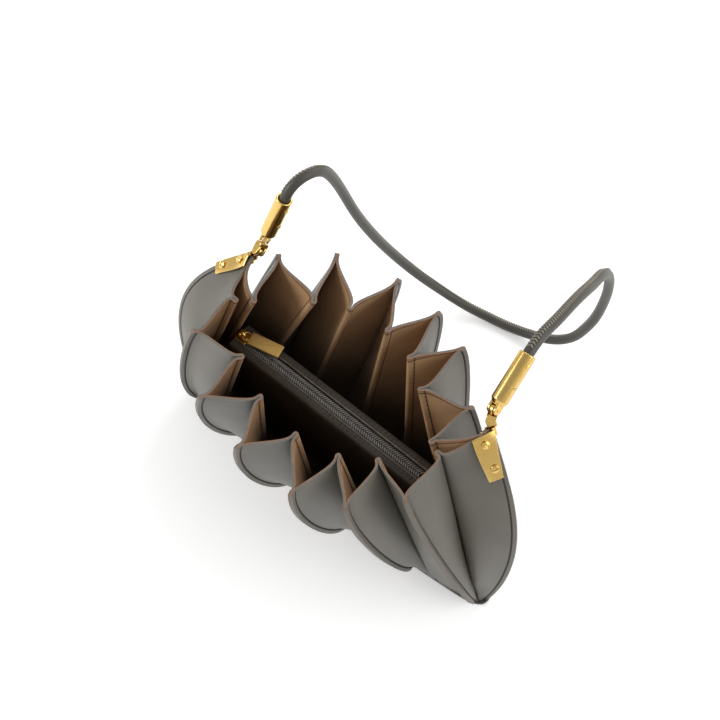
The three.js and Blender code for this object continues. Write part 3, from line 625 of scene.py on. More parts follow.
def look(azimuth, elevation, roll=0):
    """Right, up and back directions of a camera: back points from the target to the camera, and right and up
    are turned by the roll about it."""
    a, e, r = np.radians([azimuth, elevation, roll])
    right = np.array([np.cos(a), np.sin(a), 0])
    back = np.array([np.sin(a) * np.cos(e), -np.cos(a) * np.cos(e), np.sin(e)])
    up = np.cross(back, right)
    return right * np.cos(r) + up * np.sin(r), up * np.cos(r) - right * np.sin(r), back


def aim(name, data, directions, target, distance):
    """An object that looks at a target along its back direction from a distance."""
    matrix = np.eye(4)
    matrix[:3, :4] = np.stack([*directions, target + directions[2] * distance], axis=1)
    made = link_object(name, data)
    made.matrix_world = Matrix(matrix.tolist())
    return made


def add_camera():
    """The camera that meets the photograph's outlines."""
    data = bpy.data.cameras.new("photo_camera")
    data.sensor_width = CAMERA_SENSOR
    data.lens = CAMERA_LENS
    data.clip_start = 0.01
    data.clip_end = 20
    bpy.context.scene.camera = aim("photo_camera", data, look(**CAMERA_TURN), CAMERA_TARGET, CAMERA_DISTANCE)


def add_softbox(name, azimuth, elevation, distance, size, power):
    """A square light that faces the bag from an azimuth and an elevation."""
    data = bpy.data.lights.new(name, "AREA")
    data.size = size
    data.energy = power
    aim(name, data, look(azimuth, elevation), LIGHT_TARGET, distance)


def add_stage():
    """A pale floor under the bag, big enough to fill the view, and a pale room light, a little dimmer
    overhead."""
    side = np.linspace(-FLOOR_HALF, FLOOR_HALF, FLOOR_LINES)
    x, y = np.meshgrid(side, side, indexing="xy")
    points = np.stack([x, y, np.full_like(x, FLOOR_LEVEL)], axis=-1).reshape(-1, 3)
    mesh = bpy.data.meshes.new("floor")
    mesh.from_pydata(points.tolist(), [], grid_faces(FLOOR_LINES, FLOOR_LINES)[:, ::-1].tolist())
    mesh.materials.append(FLOOR)
    floor = link_object("floor", mesh)
    world = bpy.data.worlds.new("studio")
    world.use_nodes = True
    sky = Flow(world.node_tree)
    heading = sky.node("ShaderNodeTexCoord", {}, {}, "Generated")
    height = sky.node("ShaderNodeSeparateXYZ", {}, {"Vector": heading}, "Z")
    level = sky.node("ShaderNodeMapRange", {"interpolation_type": "SMOOTHSTEP"}, {"Value": height, **SKY})
    background = world.node_tree.nodes["Background"]
    background.inputs["Color"].default_value = (1, 1, 1, 1)
    world.node_tree.links.new(level.socket, background.inputs["Strength"])
    bpy.context.scene.world = world
    bpy.context.scene.view_settings.view_transform = "Standard"


add_camera()
add_softbox("key_softbox", -52, 30, 1.4, 0.6, 10)
add_softbox("fill_softbox", 112, 28, 1.5, 1.0, 9)
add_softbox("back_softbox", 185, 40, 1.5, 1.0, 8)
add_stage()


# Strap: a round rope with a sewn seam, the free cord of the bag
STRAP_SIDES = 28
STRAP_STEPS_PER_SPAN = 7
SEAM_FACING = np.array([(-0.5, 0.45, 0.74), (-0.36, -0.3, 0.88)])
SEAM_TURN = (0.7, 0.82)
SEAM_DIP = 0.07
SEAM_DIP_ANGLE = 0.16
STRAP_STITCH_PITCH = 1.9 * MM
STRAP_STITCH = (2.7 * MM, 0.4 * MM)
STRAP_STITCH_SLANT = 0.6
STRAP_STITCH_SPREAD = 0.34
STRAP_STITCH_SEAT = 0.985 * STRAP_RADIUS
STRAP_STITCH_OFFSET = 0.3 * MM
OUTSIDE_BORES = slice(13, -13)


def strap_grid(path):
    """A tube about the path: radius times cosine and sine of the angle on the two side directions, pressed
    in a little along the seam at angle zero. The seam faces one fixed direction as far as the path lets it,
    and turns to a second one on the way to the right end."""
    turned = smooth(np.linspace(0, 1, len(path)), *SEAM_TURN)[:, None]
    along, side, other = facing_frames(path, SEAM_FACING[0] * (1 - turned) + SEAM_FACING[1] * turned)
    angle = ring_angles(STRAP_SIDES)
    away = np.minimum(angle, 2 * np.pi - angle)
    radius = STRAP_RADIUS * (1 - SEAM_DIP * np.exp(-(away / SEAM_DIP_ANGLE) ** 2))
    grid = path[:, None, :] + radius[:, None] * spokes(angle, side[:, None], other[:, None])
    return grid, along, side, other


def add_strap():
    """The rope, and two rows of slanted stitches that meet along its seam."""
    path = spline(STRAP_ROUTE, STRAP_STEPS_PER_SPAN)
    grid, *frames = strap_grid(path)
    # With no tuck of its own, the whole rope gets the leather's painted shade, at the strength its rim
    # distance sets
    strap = add_piece("strap_rope", [STRAP_LEATHER], [(grid, tube_faces(len(path), STRAP_SIDES))],
                      replaces=["strap"],
                      attributes={"fin": FAR_FROM_SEAM, "rim": FAR_FROM_SEAM})
    stops, lengths = even_stops(path, STRAP_STITCH_PITCH)
    stops = stops[OUTSIDE_BORES]
    places = read_at(stops, lengths, path)
    run, seam, cross = (unit(read_at(stops, lengths, field)) for field in frames)
    threads = []
    for lean in (1, -1):
        slant = unit(run * STRAP_STITCH_SLANT + lean * cross)
        seat = unit(seam + lean * STRAP_STITCH_SPREAD * cross)
        spots = places + seat * STRAP_STITCH_SEAT + run * lean * STRAP_STITCH_OFFSET
        threads.append(stitch_beads(spots, slant, seat, *STRAP_STITCH))
    stitching = add_piece("strap_seam_stitching", [STRAP_THREAD], threads)


add_strap()


# Pleated leather: one gore from ridge fin to ridge fin through its valley tuck
FIN_SHARES = np.array([0, 0.12, 0.35, 0.52, 0.62, 0.7, 0.785, 0.87, 0.95])
PANEL_SHARES = np.linspace(0, 1, 19)
TUCK_SHARES = np.array([0.35, 0.72])
FOLD_ANGLES = np.linspace(0, np.pi, 9)
ROWS_DOWN = np.r_[0, 0.006, 0.014, np.linspace(0.03, 0.97, 56), 0.985, 1]
SEAM_COLUMN = 6
HEM_COLUMN = len(FIN_SHARES) + len(PANEL_SHARES) - 1
FIN_STITCH = (3.1 * MM, 2.3 * MM, 0.3 * MM)
TUCK_STITCH = (3.4 * MM, 2.5 * MM, 0.27 * MM)


def ridge_controls():
    """Control points of the ridge lines: mouth, mouth plus flare, foot plus reach, foot."""
    x, y = PLEATS["x"] * MM, PLEATS["y"] * MM
    height = np.full(len(x), MOUTH)
    height[[LEFT_END, RIGHT_END]] = LEFT_END_MOUTH, RIGHT_END_MOUTH
    mouth = np.stack([x, y, height], axis=1)
    foot_x, foot_y = PLEATS["foot_x"] * SOLE[0], PLEATS["foot_y"] * SOLE[1]
    foot = np.stack([foot_x, foot_y, np.full(len(x), RIDGE_FOOT)], axis=1)
    flat = np.zeros_like(x)
    outward = unit(np.stack([FLARE_X_SHARE * x, y, flat], axis=1))
    flare = outward * np.sin(SIDE_FLARE) - np.cos(SIDE_FLARE) * UPWARD
    mirror = np.stack([np.sign(x), flat + 1, flat + 1], axis=1)
    flare = np.where(IS_END[:, None], mirror * END_FLARE, flare)
    foot_out = unit(np.stack([foot_x, FOOT_Y_SHARE * foot_y, flat], axis=1))
    belly = np.where(IS_END[:, None], mirror * END_BELLY, foot_out * FOOT_REACH)
    return np.stack([mouth, mouth + flare * FLARE_REACH, foot + belly, foot], axis=1)


def fold_lines(t):
    """Ridges and valleys at shares t of the way down, with their directions: ridges are cubic curves, valleys
    are straight lines to the middle between the feet of their two ridges."""
    controls = ridge_controls()
    ridge, ridge_run = bezier(controls, t)
    high = np.full(len(PLEATS), MOUTH)
    mouth = np.stack([PLEATS["valley_x"] * MM, PLEATS["valley_y"] * MM, high], axis=1)
    foot = (controls[:, 3] + np.roll(controls[:, 3], -1, axis=0)) / 2
    foot[:, 2] = VALLEY_FOOT
    valley = blend_line(mouth, foot, t)
    valley_run = np.broadcast_to((foot - mouth)[:, None, :], valley.shape)
    return ridge, ridge_run, valley, valley_run


def fold_frames(run, before, after):
    """Down along a fold, out as down cross the way round the bag, and side as out cross down."""
    down = unit(run)
    out = unit(np.cross(down, after - before))
    return down, out, unit(np.cross(out, down))


def side_by_side(shape, *parts):
    """The parts of a section one after the other, each spread over all the rows of all the gores."""
    return np.concatenate([np.broadcast_to(part, (*shape, part.shape[-1])) for part in parts], axis=2)


def gore_grids(t):
    """Middle surfaces of all the gores. Each section goes down the fin of one ridge, over a panel that
    leaves the fin and meets the tuck along their own directions as a cubic curve, puffed by sine of its
    share and dented by soft waves, then round the tuck's half circle and back up to the next ridge's fin.
    Returns points and the distances from the cut edge and from the tuck's fold, in millimetres."""
    ridge, ridge_run, valley, valley_run = fold_lines(t)
    r_down, r_out, r_side = fold_frames(ridge_run, np.roll(valley, 1, axis=0), valley)
    v_down, v_out, v_side = fold_frames(valley_run, ridge, np.roll(ridge, -1, axis=0))
    taper = smooth(t, TAPER_START, 1)[:, None]
    width = FIN + (FIN_AT_FOOT - FIN) * taper
    tuck_width = FIN + (TUCK_AT_FOOT - FIN) * taper
    bend = valley + v_out * np.minimum(LAYER + WALL / 2, TUCK_BEND_SHARE * tuck_width)
    s = PANEL_SHARES
    dome = np.sin(np.pi * s)
    halves = []
    from_edge = []
    from_fold = []
    for turn in (1, -1):
        shift = 0 if turn > 0 else -1
        tip = np.roll(ridge + turn * r_side * FIN_LAYER, shift, axis=0)
        out = np.roll(r_out, shift, axis=0)
        down = np.roll(r_down, shift, axis=0)
        is_end = np.roll(IS_END, shift)
        root = tip - out * width
        tuck = valley - turn * v_side * LAYER + v_out * tuck_width
        span = np.linalg.norm(tuck - root, axis=-1, keepdims=True)
        lean = span * PANEL_LEAN * (1 - LEAN_LOST_AT_FOOT * taper)
        panel = bezier(np.stack([root, root - out * lean, tuck + v_out * lean, tuck], axis=-2), s)[0]
        normal = unit(np.cross(down + v_down, tuck - root)) * turn
        puff = np.where(is_end, END_PUFF_SHARE, 1.0)[:, None, None] * PUFF
        swell = puff * np.sin(np.pi * t)[:, None] * dome
        reach = s * span
        apart = np.arange(len(ridge))[:, None, None] * DENT_STEP_PER_GORE + (turn > 0) * DENT_STEP_PER_LEAF
        fall = np.broadcast_to(t[:, None] * DENT_FALL, reach.shape)
        waves = soft_waves(reach + apart, fall, DENT_SEED, *DENT_LENGTHS)
        swell = swell + waves * DENT_DEPTH * dome ** 1.5 * smooth(t, 0.0, DENTED_FROM)[:, None]
        close = END_CLOSING * dome * (1 - smooth(t, 0.0, END_CLOSED_TO))[:, None]
        swell[RIGHT_END if turn > 0 else LEFT_END - 1] -= close
        panel = panel + normal[..., None, :] * swell[..., None]
        drop = np.clip(1 - FIN_SHARES / FIN_ROUND_SHARE, 0, 1) ** 2
        drop = FIN_ROUND * drop * np.clip(1 - t / FIN_ROUND_DOWN, 0, 1)[:, None]
        fin = blend_line(tip, root, FIN_SHARES) + down[..., None, :] * drop[..., None]
        hem = blend_line(tuck, bend - turn * v_side * LAYER, TUCK_SHARES)
        halves.append(np.concatenate([fin, panel, hem], axis=2))
        whole = FIN + span
        from_edge.append(side_by_side(
            span.shape[:2], FIN_SHARES * FIN, FIN + reach, np.repeat(whole, len(TUCK_SHARES), axis=2)))
        from_fold.append(side_by_side(
            span.shape[:2], np.repeat(whole, len(FIN_SHARES), axis=2), FIN + (1 - s) * span,
            (1 - TUCK_SHARES) * FIN * TUCK_RUN_SHARE))
    arc = bend[..., None, :] - LAYER * spokes(FOLD_ANGLES, v_side[..., None, :], v_out[..., None, :])
    on_fold = np.zeros(arc.shape[:3])
    grid = np.concatenate([halves[0], arc, halves[1][:, :, ::-1]], axis=2)
    fold_mark = on_fold + FOLD_FROM_EDGE * MM
    fin_mark = np.concatenate([from_edge[0], fold_mark, from_edge[1][:, :, ::-1]], axis=2) / MM
    tuck_mark = np.concatenate([from_fold[0], on_fold, from_fold[1][:, :, ::-1]], axis=2) / MM
    return grid, fin_mark, tuck_mark


def add_gores():
    """Every gore as a wall of even thickness: the middle surface plus and minus half the wall along its
    normals, with a groove of a narrow bell shape along the stitched line. Stitches go down the fins outside
    and down the tucks inside."""
    grids, fin_marks, tuck_marks = gore_grids(ROWS_DOWN)
    rows, columns = grids.shape[1:3]
    faces = sheet_faces(rows, columns)
    fin_threads = []
    tuck_threads = []
    for k, grid in enumerate(grids):
        normals = sheet_normals(grid)
        groove = GROOVE_DEPTH * np.exp(-((fin_marks[k] - SEAM_AT) / GROOVE_HALF) ** 2)
        outer = grid + normals * (WALL / 2 - groove)[..., None]
        inner = grid - normals * (WALL / 2)
        down = np.r_[0, np.cumsum(np.linalg.norm(np.diff(grid, axis=0), axis=2).mean(axis=1))] / MM
        rim = np.broadcast_to(down[:, None], (rows, columns))
        marks = {"fin": fin_marks[k], "tuck": tuck_marks[k], "rim": rim}
        attributes = {key: np.stack([mark, mark]) for key, mark in marks.items()}
        attributes["ply"] = np.repeat([0, 1], rows * columns)
        number = f"{k + 1:02d}"
        add_piece(f"gore_{number}", [OUTER, LINING, EDGE], [(np.stack([outer, inner]), faces, (0, 1, 2))],
                  replaces=[f"leaf_{number}_a", f"leaf_{number}_b"], attributes=attributes,
                  round_edges=EDGE_ROUND)
        for threads, skin, lift, column, stitch in (
                (fin_threads, outer, normals, SEAM_COLUMN, FIN_STITCH),
                (tuck_threads, inner, -normals, HEM_COLUMN, TUCK_STITCH)):
            for line in (column, columns - 1 - column):
                threads.append(path_beads(skin[:, line] + lift[:, line] * BEAD_LIFT, lift[:, line], *stitch))
    add_piece("fin_stitching", [THREAD], fin_threads)
    add_piece("tuck_stitching", [BROWN_THREAD], tuck_threads)


add_gores()


# Flat and turned metal shapes
RIM_TURN = np.radians([0, 30, 60, 90])
RIM_FLAT = 2.4
LONGEST_CUT = 0.45
SCREW_SHARES = np.array([0.1, 0.2, 0.35, 0.5, 0.65, 0.8, 0.9, 0.97, 1.0, 1.0])[:, None]
SCREW_RIM_SHARE = 0.36
SCREW_UNDER_SEAT = -0.6 * MM
SCREW_SLOT_EDGES = (0.2, 0.12)
SCREW_SLOT_END = 0.95
SCREW_SLOT_DEPTH = 0.55


def rectangle(half_long, half_wide):
    """The four corners of a rectangle about the origin, counter-clockwise."""
    return np.array([half_long, half_wide]) * np.array([(-1, -1), (1, -1), (1, 1), (-1, 1)])


def rounded(corners, radius, steps=5):
    """An outline with round corners: each corner becomes a quadratic curve from one radius before it to one
    radius after it."""
    corners = np.asarray(corners, float)
    start = corners + unit(np.roll(corners, 1, axis=0) - corners) * radius
    end = corners + unit(np.roll(corners, -1, axis=0) - corners) * radius
    curve = bent(start, corners, end, np.linspace(0, 1, steps)[:, None, None])
    return curve.transpose(1, 0, 2).reshape(-1, 2)


def slab(outline, centre, right, up, thickness, ease):
    """A flat plate: a counter-clockwise outline on the directions right and up, carried through the
    thickness along right cross up. Its rims are quarter rounds: the inset is ease times 1 minus sine, the
    rise is ease times 1 minus cosine of the same angle."""
    step = unit(np.roll(outline, -1, axis=0) - outline)
    mean = unit(step + np.roll(step, 1, axis=0))
    outward = np.stack([mean[:, 1], -mean[:, 0]], axis=1)
    inset = np.r_[RIM_FLAT * ease, ease * (1 - np.sin(RIM_TURN))]
    level = np.r_[0, ease * (1 - np.cos(RIM_TURN))] - thickness / 2
    inset = np.r_[inset, inset[::-1]]
    level = np.r_[level, -level[::-1]]
    flat = outline[None] - outward[None] * inset[:, None, None]
    normal = np.cross(right, up)
    points = centre + flat[..., :1] * right + flat[..., 1:] * up + level[:, None, None] * normal
    return points, tube_faces(len(level), len(outline))


def stadium(reach, radius, sides=13):
    """The outline of a lug: a half circle about the pin at the origin, and straight sides to its root at the
    reach."""
    angle = np.linspace(np.pi / 2, 1.5 * np.pi, sides)
    arc = radius * np.stack([np.cos(angle), np.sin(angle)], axis=1)
    return np.concatenate([arc, [[reach, -radius], [reach, radius]]])


def ring_part(centre, right, up, radius, half_wide, half_tall, sides=36, round_sides=12):
    """A ring: a circle of the radius, about which an oval of the two half sizes is carried."""
    b = ring_angles(round_sides)[None, :]
    reach = radius + half_wide * np.cos(b)
    rise = (half_tall * np.sin(b))[..., None] * np.cross(right, up)
    points = centre + reach[..., None] * spokes(ring_angles(sides)[:, None], right, up) + rise
    return points, [grid_faces(sides, round_sides, wrap_rows=True, wrap_columns=True)]


def eased(profile, ease):
    """A profile whose inner corners are cut at one ease and held at two eases on either side of each
    corner."""
    profile = np.asarray(profile, float)
    corner = profile[1:-1]
    back = profile[:-2] - corner
    ahead = profile[2:] - corner
    cut = np.array([2.0, 1.0])[:, None] * ease
    back_cut = np.minimum(cut, np.linalg.norm(back, axis=1) * LONGEST_CUT)
    ahead_cut = np.minimum(cut, np.linalg.norm(ahead, axis=1) * LONGEST_CUT)
    before = corner + unit(back) * back_cut[..., None]
    after = corner + unit(ahead) * ahead_cut[::-1][..., None]
    middle = np.concatenate([before, after]).transpose(1, 0, 2).reshape(-1, 2)
    return np.concatenate([profile[:1], middle, profile[-1:]])


def screw_part(centre, axis, radius, height, slot_turn, sides):
    """A slotted dome: height times 1 minus 0.5 r squared over the radius, lowered inside a slot by a steep
    step, with an upright rim that goes a little under its seat."""
    axis, across, third = turning_frame(axis)
    share = SCREW_SHARES
    angle = ring_angles(sides)[None, :]
    rise = height * (1 - 0.5 * share ** 2)
    rise[-2:, 0] = height * SCREW_RIM_SHARE, SCREW_UNDER_SEAT
    slot = smooth(np.abs(share * np.sin(angle - slot_turn)), *SCREW_SLOT_EDGES)
    level = rise - slot * (share < SCREW_SLOT_END) * height * SCREW_SLOT_DEPTH
    points = centre + radius * share[..., None] * spokes(angle, across, third) + level[..., None] * axis
    poles = centre + np.array([[height * (1 - SCREW_SLOT_DEPTH)], [SCREW_UNDER_SEAT]]) * axis
    return np.concatenate([points.reshape(-1, 3), poles]), poled_faces(len(share), sides, dome=True)


# Strap fittings at both ends: saddle, link and ferrule

SADDLE_LENGTH = 27.6 * MM
SADDLE_ROWS = 15
SADDLE_OVERHANG = 0.8 * MM
SADDLE_DEPTHS = {LEFT_END: (9.4 * MM, 6.8 * MM), RIGHT_END: (13.4 * MM, 8.2 * MM)}
SADDLE_LEAN = {LEFT_END: 0.3, RIGHT_END: 0.1}
SADDLE_LIP = 4.5 * MM
SADDLE_PLATE = 1.2 * MM
SADDLE_BOW = 0.4 * MM
SADDLE_CLEARANCE = 0.35 * MM
SADDLE_SET_IN = {LEFT_END: (-0.4 * MM, -1.0 * MM), RIGHT_END: (1.2 * MM, 2.2 * MM)}
SADDLE_EDGE_ROUND = 0.3 * MM
SADDLE_FOLD = 2.2 * MM
SADDLE_COVER = 1.0 * MM
SADDLE_SCREWS = {LEFT_END: np.array([(6, 3.6), (21, 2.9)]) * MM,
                 RIGHT_END: np.array([(5.5, 6.4), (20.5, 3.8)]) * MM}
SADDLE_SLOT_TURNS = {LEFT_END: (1.1, 2.0), RIGHT_END: (0.1, 1.0)}
SADDLE_SCREW_RADIUS = 2.4 * MM
SADDLE_SCREW_HEIGHT = 1.3 * MM
SADDLE_SCREW_PROUD = 0.1 * MM
SADDLE_SCREW_SIDES = 40
CLIP_LENGTH = 4.0 * MM
CLIP_DEPTH = 3.2 * MM
CLIP_PROUD = 0.2 * MM
LEAF_HALF = FIN_LAYER + WALL / 2
EYE_RADIUS = 2.7 * MM
LUG_EASE = 0.35 * MM
TONGUE_THICKNESS = 2.4 * MM
TONGUE_REACH = 4.2 * MM
EAR_THICKNESS = 1.5 * MM
FITTING_GAP = 0.3 * MM
EAR_SHIFT = (TONGUE_THICKNESS + EAR_THICKNESS) / 2 + FITTING_GAP
FORK_WIDTH = TONGUE_THICKNESS + 2 * FITTING_GAP + 2 * EAR_THICKNESS
LINK_CORNER = 0.7 * MM
LINK_CORNER_SHARE = 0.3
LINK_EASE = 0.4 * MM
PIN_RADIUS = 0.75 * MM
PIN_HALF = FORK_WIDTH / 2 + 0.4 * MM
PIN_EASE = 0.22 * MM
PIN_SIDES = 20
FERRULE_RADIUS = 4.9 * MM
FERRULE_NECK_RADIUS = 3.2 * MM
FERRULE_LENGTH = 31.2 * MM
FERRULE_NECK = 2.4 * MM
FERRULE_BORE = STRAP_RADIUS + FITTING_GAP
FERRULE_BORE_DEPTH = 23 * MM
FERRULE_FORK = 3.0 * MM
FERRULE_FORK_ROOT = 1.0 * MM
FERRULE_EASE = 0.3 * MM
FERRULE_SIDES = 48
FERRULE_SCREWS = np.array([6, 19]) * MM
FERRULE_SLOT_TURNS = (0.4, 1.6)
FERRULE_SCREW_RADIUS = 1.2 * MM
FERRULE_SCREW_HEIGHT = 0.7 * MM
FERRULE_SCREW_SIDES = 28
FERRULE_SCREW_FACING = np.array([0.8, 0.1, 0.6])


def ridge_at(pleat, distances):
    """Points and frames on one ridge at distances along it, and their shares of the way down, by
    interpolation over its length. Before the mouth the ridge goes on straight."""
    t = np.linspace(0, 0.5, 400)
    ridge, ridge_run, valley, _ = fold_lines(t)
    frames = fold_frames(ridge_run, np.roll(valley, 1, axis=0), valley)
    lengths = lengths_along(ridge[pleat])
    held = np.maximum(distances, 0)
    point = read_at(held, lengths, ridge[pleat])
    down, out, side = (unit(read_at(held, lengths, field[pleat])) for field in frames)
    start = point + down * np.minimum(distances, 0)[:, None]
    return start, down, out, side, np.interp(held, lengths, t)


def trend_of(distances, values):
    """The straight line nearest to values along a run."""
    return np.polyval(np.polyfit(distances, values, 1), distances)


def leaf_rest(pleat, turn, distances, depth):
    """Where a flat plate rests on a leaf: in each section the chord of its skin from the ridge to the
    plate's depth, as a slope, and how far the skin bulges over that chord. The slope is the straight line
    nearest to the chords along the ridge, and the bulge is one that passes none below. Turn is 1 for the
    leaf after the ridge, -1 for the one before it."""
    start, _, out, side, t = ridge_at(pleat, distances)
    grids = gore_grids(t)[0]
    leaf = grids[pleat] if turn > 0 else grids[pleat - 1][:, ::-1]
    leaf = leaf[:, :HEM_COLUMN + 1] - start[:, None]
    below = -np.einsum("ijc,ic->ij", leaf, out)
    apart = np.einsum("ijc,ic->ij", leaf, turn * side) + WALL / 2 - LEAF_HALF
    covered = (below > 0) & (below < depth[:, None] + SADDLE_COVER)
    rows = np.arange(len(t))
    last = np.where(covered, below, 0).argmax(axis=1)
    slope = trend_of(distances, apart[rows, last] / below[rows, last])
    bulge = np.where(covered, apart - slope[:, None] * below, 0).max(axis=1)
    trend = trend_of(distances, bulge)
    return slope, trend + (bulge - trend).max()


def saddle_depth(pleat, distances):
    """The depth of a saddle's front plate, straight from its value at the mouth to its value at the foot."""
    at_mouth, at_foot = SADDLE_DEPTHS[pleat]
    return at_mouth + (at_foot - at_mouth) * distances / SADDLE_LENGTH


def saddle_lines(pleat, turn, distances, depth, lift):
    """Two lines of a plate on one leaf, at a lift above its clearance: along the fin and along the inner
    edge, which follows the slope of the leaf and leans towards the foot."""
    start, down, out, side, _ = ridge_at(pleat, distances)
    slope, bulge = leaf_rest(pleat, turn, distances, depth)
    half = LEAF_HALF + SADDLE_CLEARANCE + bulge + lift
    at_mouth, at_foot = SADDLE_SET_IN[pleat]
    set_in = at_mouth + (at_foot - at_mouth) * np.clip(distances / SADDLE_LENGTH, 0, 1)
    near, far = (start - out * reach[:, None] + turn * side * (half + slope * reach)[:, None]
                 for reach in (set_in, depth + set_in))
    return near, far + down * (SADDLE_LEAN[pleat] * depth)[:, None]


def saddle_plate(pleat, turn, distances, depth):
    """A wall between the two lines of a plate, bowed outwards by sine of the share across it."""
    near, far = saddle_lines(pleat, turn, distances, depth, SADDLE_PLATE / 2)
    across = np.linspace(0, 1, 9)
    side = ridge_at(pleat, distances)[3]
    bow = SADDLE_BOW * np.sin(np.pi * across)
    grid = blend_line(near, far, across) + turn * side[:, None] * bow[:, None]
    return wall_part(grid[:, ::-1] if turn > 0 else grid, SADDLE_PLATE)


def saddle_clip(pleat, turn):
    """A short wall folded over the ridge at the mouth: straight on the front leaf, a quadratic curve round
    each corner, and straight on the back leaf."""
    start, _, out, side, _ = ridge_at(pleat, np.linspace(-SADDLE_OVERHANG, CLIP_LENGTH, 7))
    web = SADDLE_CLEARANCE + SADDLE_PLATE / 2
    across = turn * side * (LEAF_HALF + web + CLIP_PROUD)
    first, second = start + out * web + across, start + out * web - across
    front, back = first - out * CLIP_DEPTH, second - out * CLIP_DEPTH
    s = np.linspace(0, 1, 6)[:, None]
    bends = []
    for corner, before, after in ((first, front, second), (second, first, back)):
        begin = corner + unit(before - corner) * SADDLE_FOLD
        finish = corner + unit(after - corner) * SADDLE_FOLD
        bends.append(bent(begin[:, None], corner[:, None], finish[:, None], s))
    grid = np.concatenate([front[:, None], *bends, back[:, None]], axis=1)
    return wall_part(grid if turn > 0 else grid[:, ::-1], SADDLE_PLATE)


def hanging_points(pleat, bore_end, bore_mouth):
    """The two pins of a link and the directions about them: the lower one in the saddle's tongue before the
    mouth of the ridge, the upper one in the ferrule's fork behind the bore. A pin is square to the runs
    that it joins."""
    point, down, out, _, _ = (field[0] for field in ridge_at(pleat, np.zeros(1)))
    tongue_pin = point - down * TONGUE_REACH + out * (SADDLE_CLEARANCE + SADDLE_PLATE / 2)
    ferrule_run = unit(bore_mouth - bore_end)
    fork_pin = bore_mouth - ferrule_run * (FERRULE_LENGTH + FERRULE_FORK)
    link_run = unit(fork_pin - tongue_pin)
    return SimpleNamespace(
        tongue_pin=tongue_pin, fork_pin=fork_pin, down=down, link_run=link_run, ferrule_run=ferrule_run,
        lower_axis=unit(np.cross(link_run, down)), upper_axis=unit(np.cross(link_run, ferrule_run)))


def lug(pin, axis, towards, reach, thickness, shift=0.0):
    """A flat lug about a pin, shifted along it, with its root at the reach in the direction towards."""
    outline = stadium(reach, EYE_RADIUS)
    return slab(outline, pin + axis * shift, towards, np.cross(axis, towards), thickness, LUG_EASE)


def ears(pin, axis, towards, reach):
    """Two equal lugs on either side of a tongue."""
    return [lug(pin, axis, towards, reach, EAR_THICKNESS, shift) for shift in (-EAR_SHIFT, EAR_SHIFT)]


def add_gold(name, node, parts, round_edges=0):
    """A gold-plated piece that stands for one CAD node."""
    add_piece(name, [GOLD], parts, replaces=[node], round_edges=round_edges)


def add_saddle(word, pleat, turn, hang):
    """The front plate, the lip on the back leaf, the clip over the ridge and the tongue for the link, and
    two screws whose heads stand on the front plate."""
    rows = np.linspace(0, SADDLE_LENGTH, SADDLE_ROWS)
    depth = saddle_depth(pleat, rows)
    root = unit(np.cross(hang.lower_axis, np.cross(hang.down, hang.lower_axis)))
    add_gold(f"{word}_saddle_plate", f"{word}_saddle", [
        saddle_plate(pleat, turn, rows, depth),
        saddle_plate(pleat, -turn, rows, np.full(SADDLE_ROWS, SADDLE_LIP)),
        saddle_clip(pleat, turn),
        lug(hang.tongue_pin, hang.lower_axis, root, TONGUE_REACH - SADDLE_OVERHANG / 2, TONGUE_THICKNESS),
    ], SADDLE_EDGE_ROUND)
    near, far = saddle_lines(pleat, turn, rows, depth, SADDLE_PLATE)
    for k, (distance, reach) in enumerate(SADDLE_SCREWS[pleat]):
        share = reach / saddle_depth(pleat, distance)
        outer = read_at(distance, rows, near)
        across = read_at(distance, rows, far) - outer
        normal = unit(np.cross(across, far[-1] - far[0])) * -turn
        proud = SADDLE_SCREW_PROUD + SADDLE_BOW * np.sin(np.pi * share)
        seat = outer + across * share + normal * proud
        head = screw_part(seat, normal, SADDLE_SCREW_RADIUS, SADDLE_SCREW_HEIGHT, SADDLE_SLOT_TURNS[pleat][k],
                          SADDLE_SCREW_SIDES)
        add_gold(f"{word}_saddle_screw_head_{k + 1}", f"{word}_saddle_screw_{k + 1}", [head])


def add_link(word, hang):
    """A block with two ears about the saddle's tongue and a tongue in the ferrule's fork, and a pin through
    each."""
    length = np.linalg.norm(hang.fork_pin - hang.tongue_pin)
    block = length - 2 * (EYE_RADIUS + FITTING_GAP)
    outline = rounded(rectangle(FORK_WIDTH / 2, block / 2), min(LINK_CORNER, block * LINK_CORNER_SHARE))
    middle = (hang.tongue_pin + hang.fork_pin) / 2
    add_gold(f"{word}_knuckle", f"{word}_link", [
        *ears(hang.tongue_pin, hang.lower_axis, hang.link_run, length / 2),
        lug(hang.fork_pin, hang.upper_axis, -hang.link_run, length / 2, TONGUE_THICKNESS),
        slab(outline, middle, hang.lower_axis, hang.link_run, 2 * EYE_RADIUS, LINK_EASE),
    ])
    bar = eased([(0, -PIN_HALF), (PIN_RADIUS, -PIN_HALF), (PIN_RADIUS, PIN_HALF), (0, PIN_HALF)], PIN_EASE)
    for level, pin, axis in (("lower", hang.tongue_pin, hang.lower_axis),
                             ("upper", hang.fork_pin, hang.upper_axis)):
        add_gold(f"{word}_{level}_pin", f"{word}_link_pin_{level}", [lathe(bar, PIN_SIDES, pin, axis)])


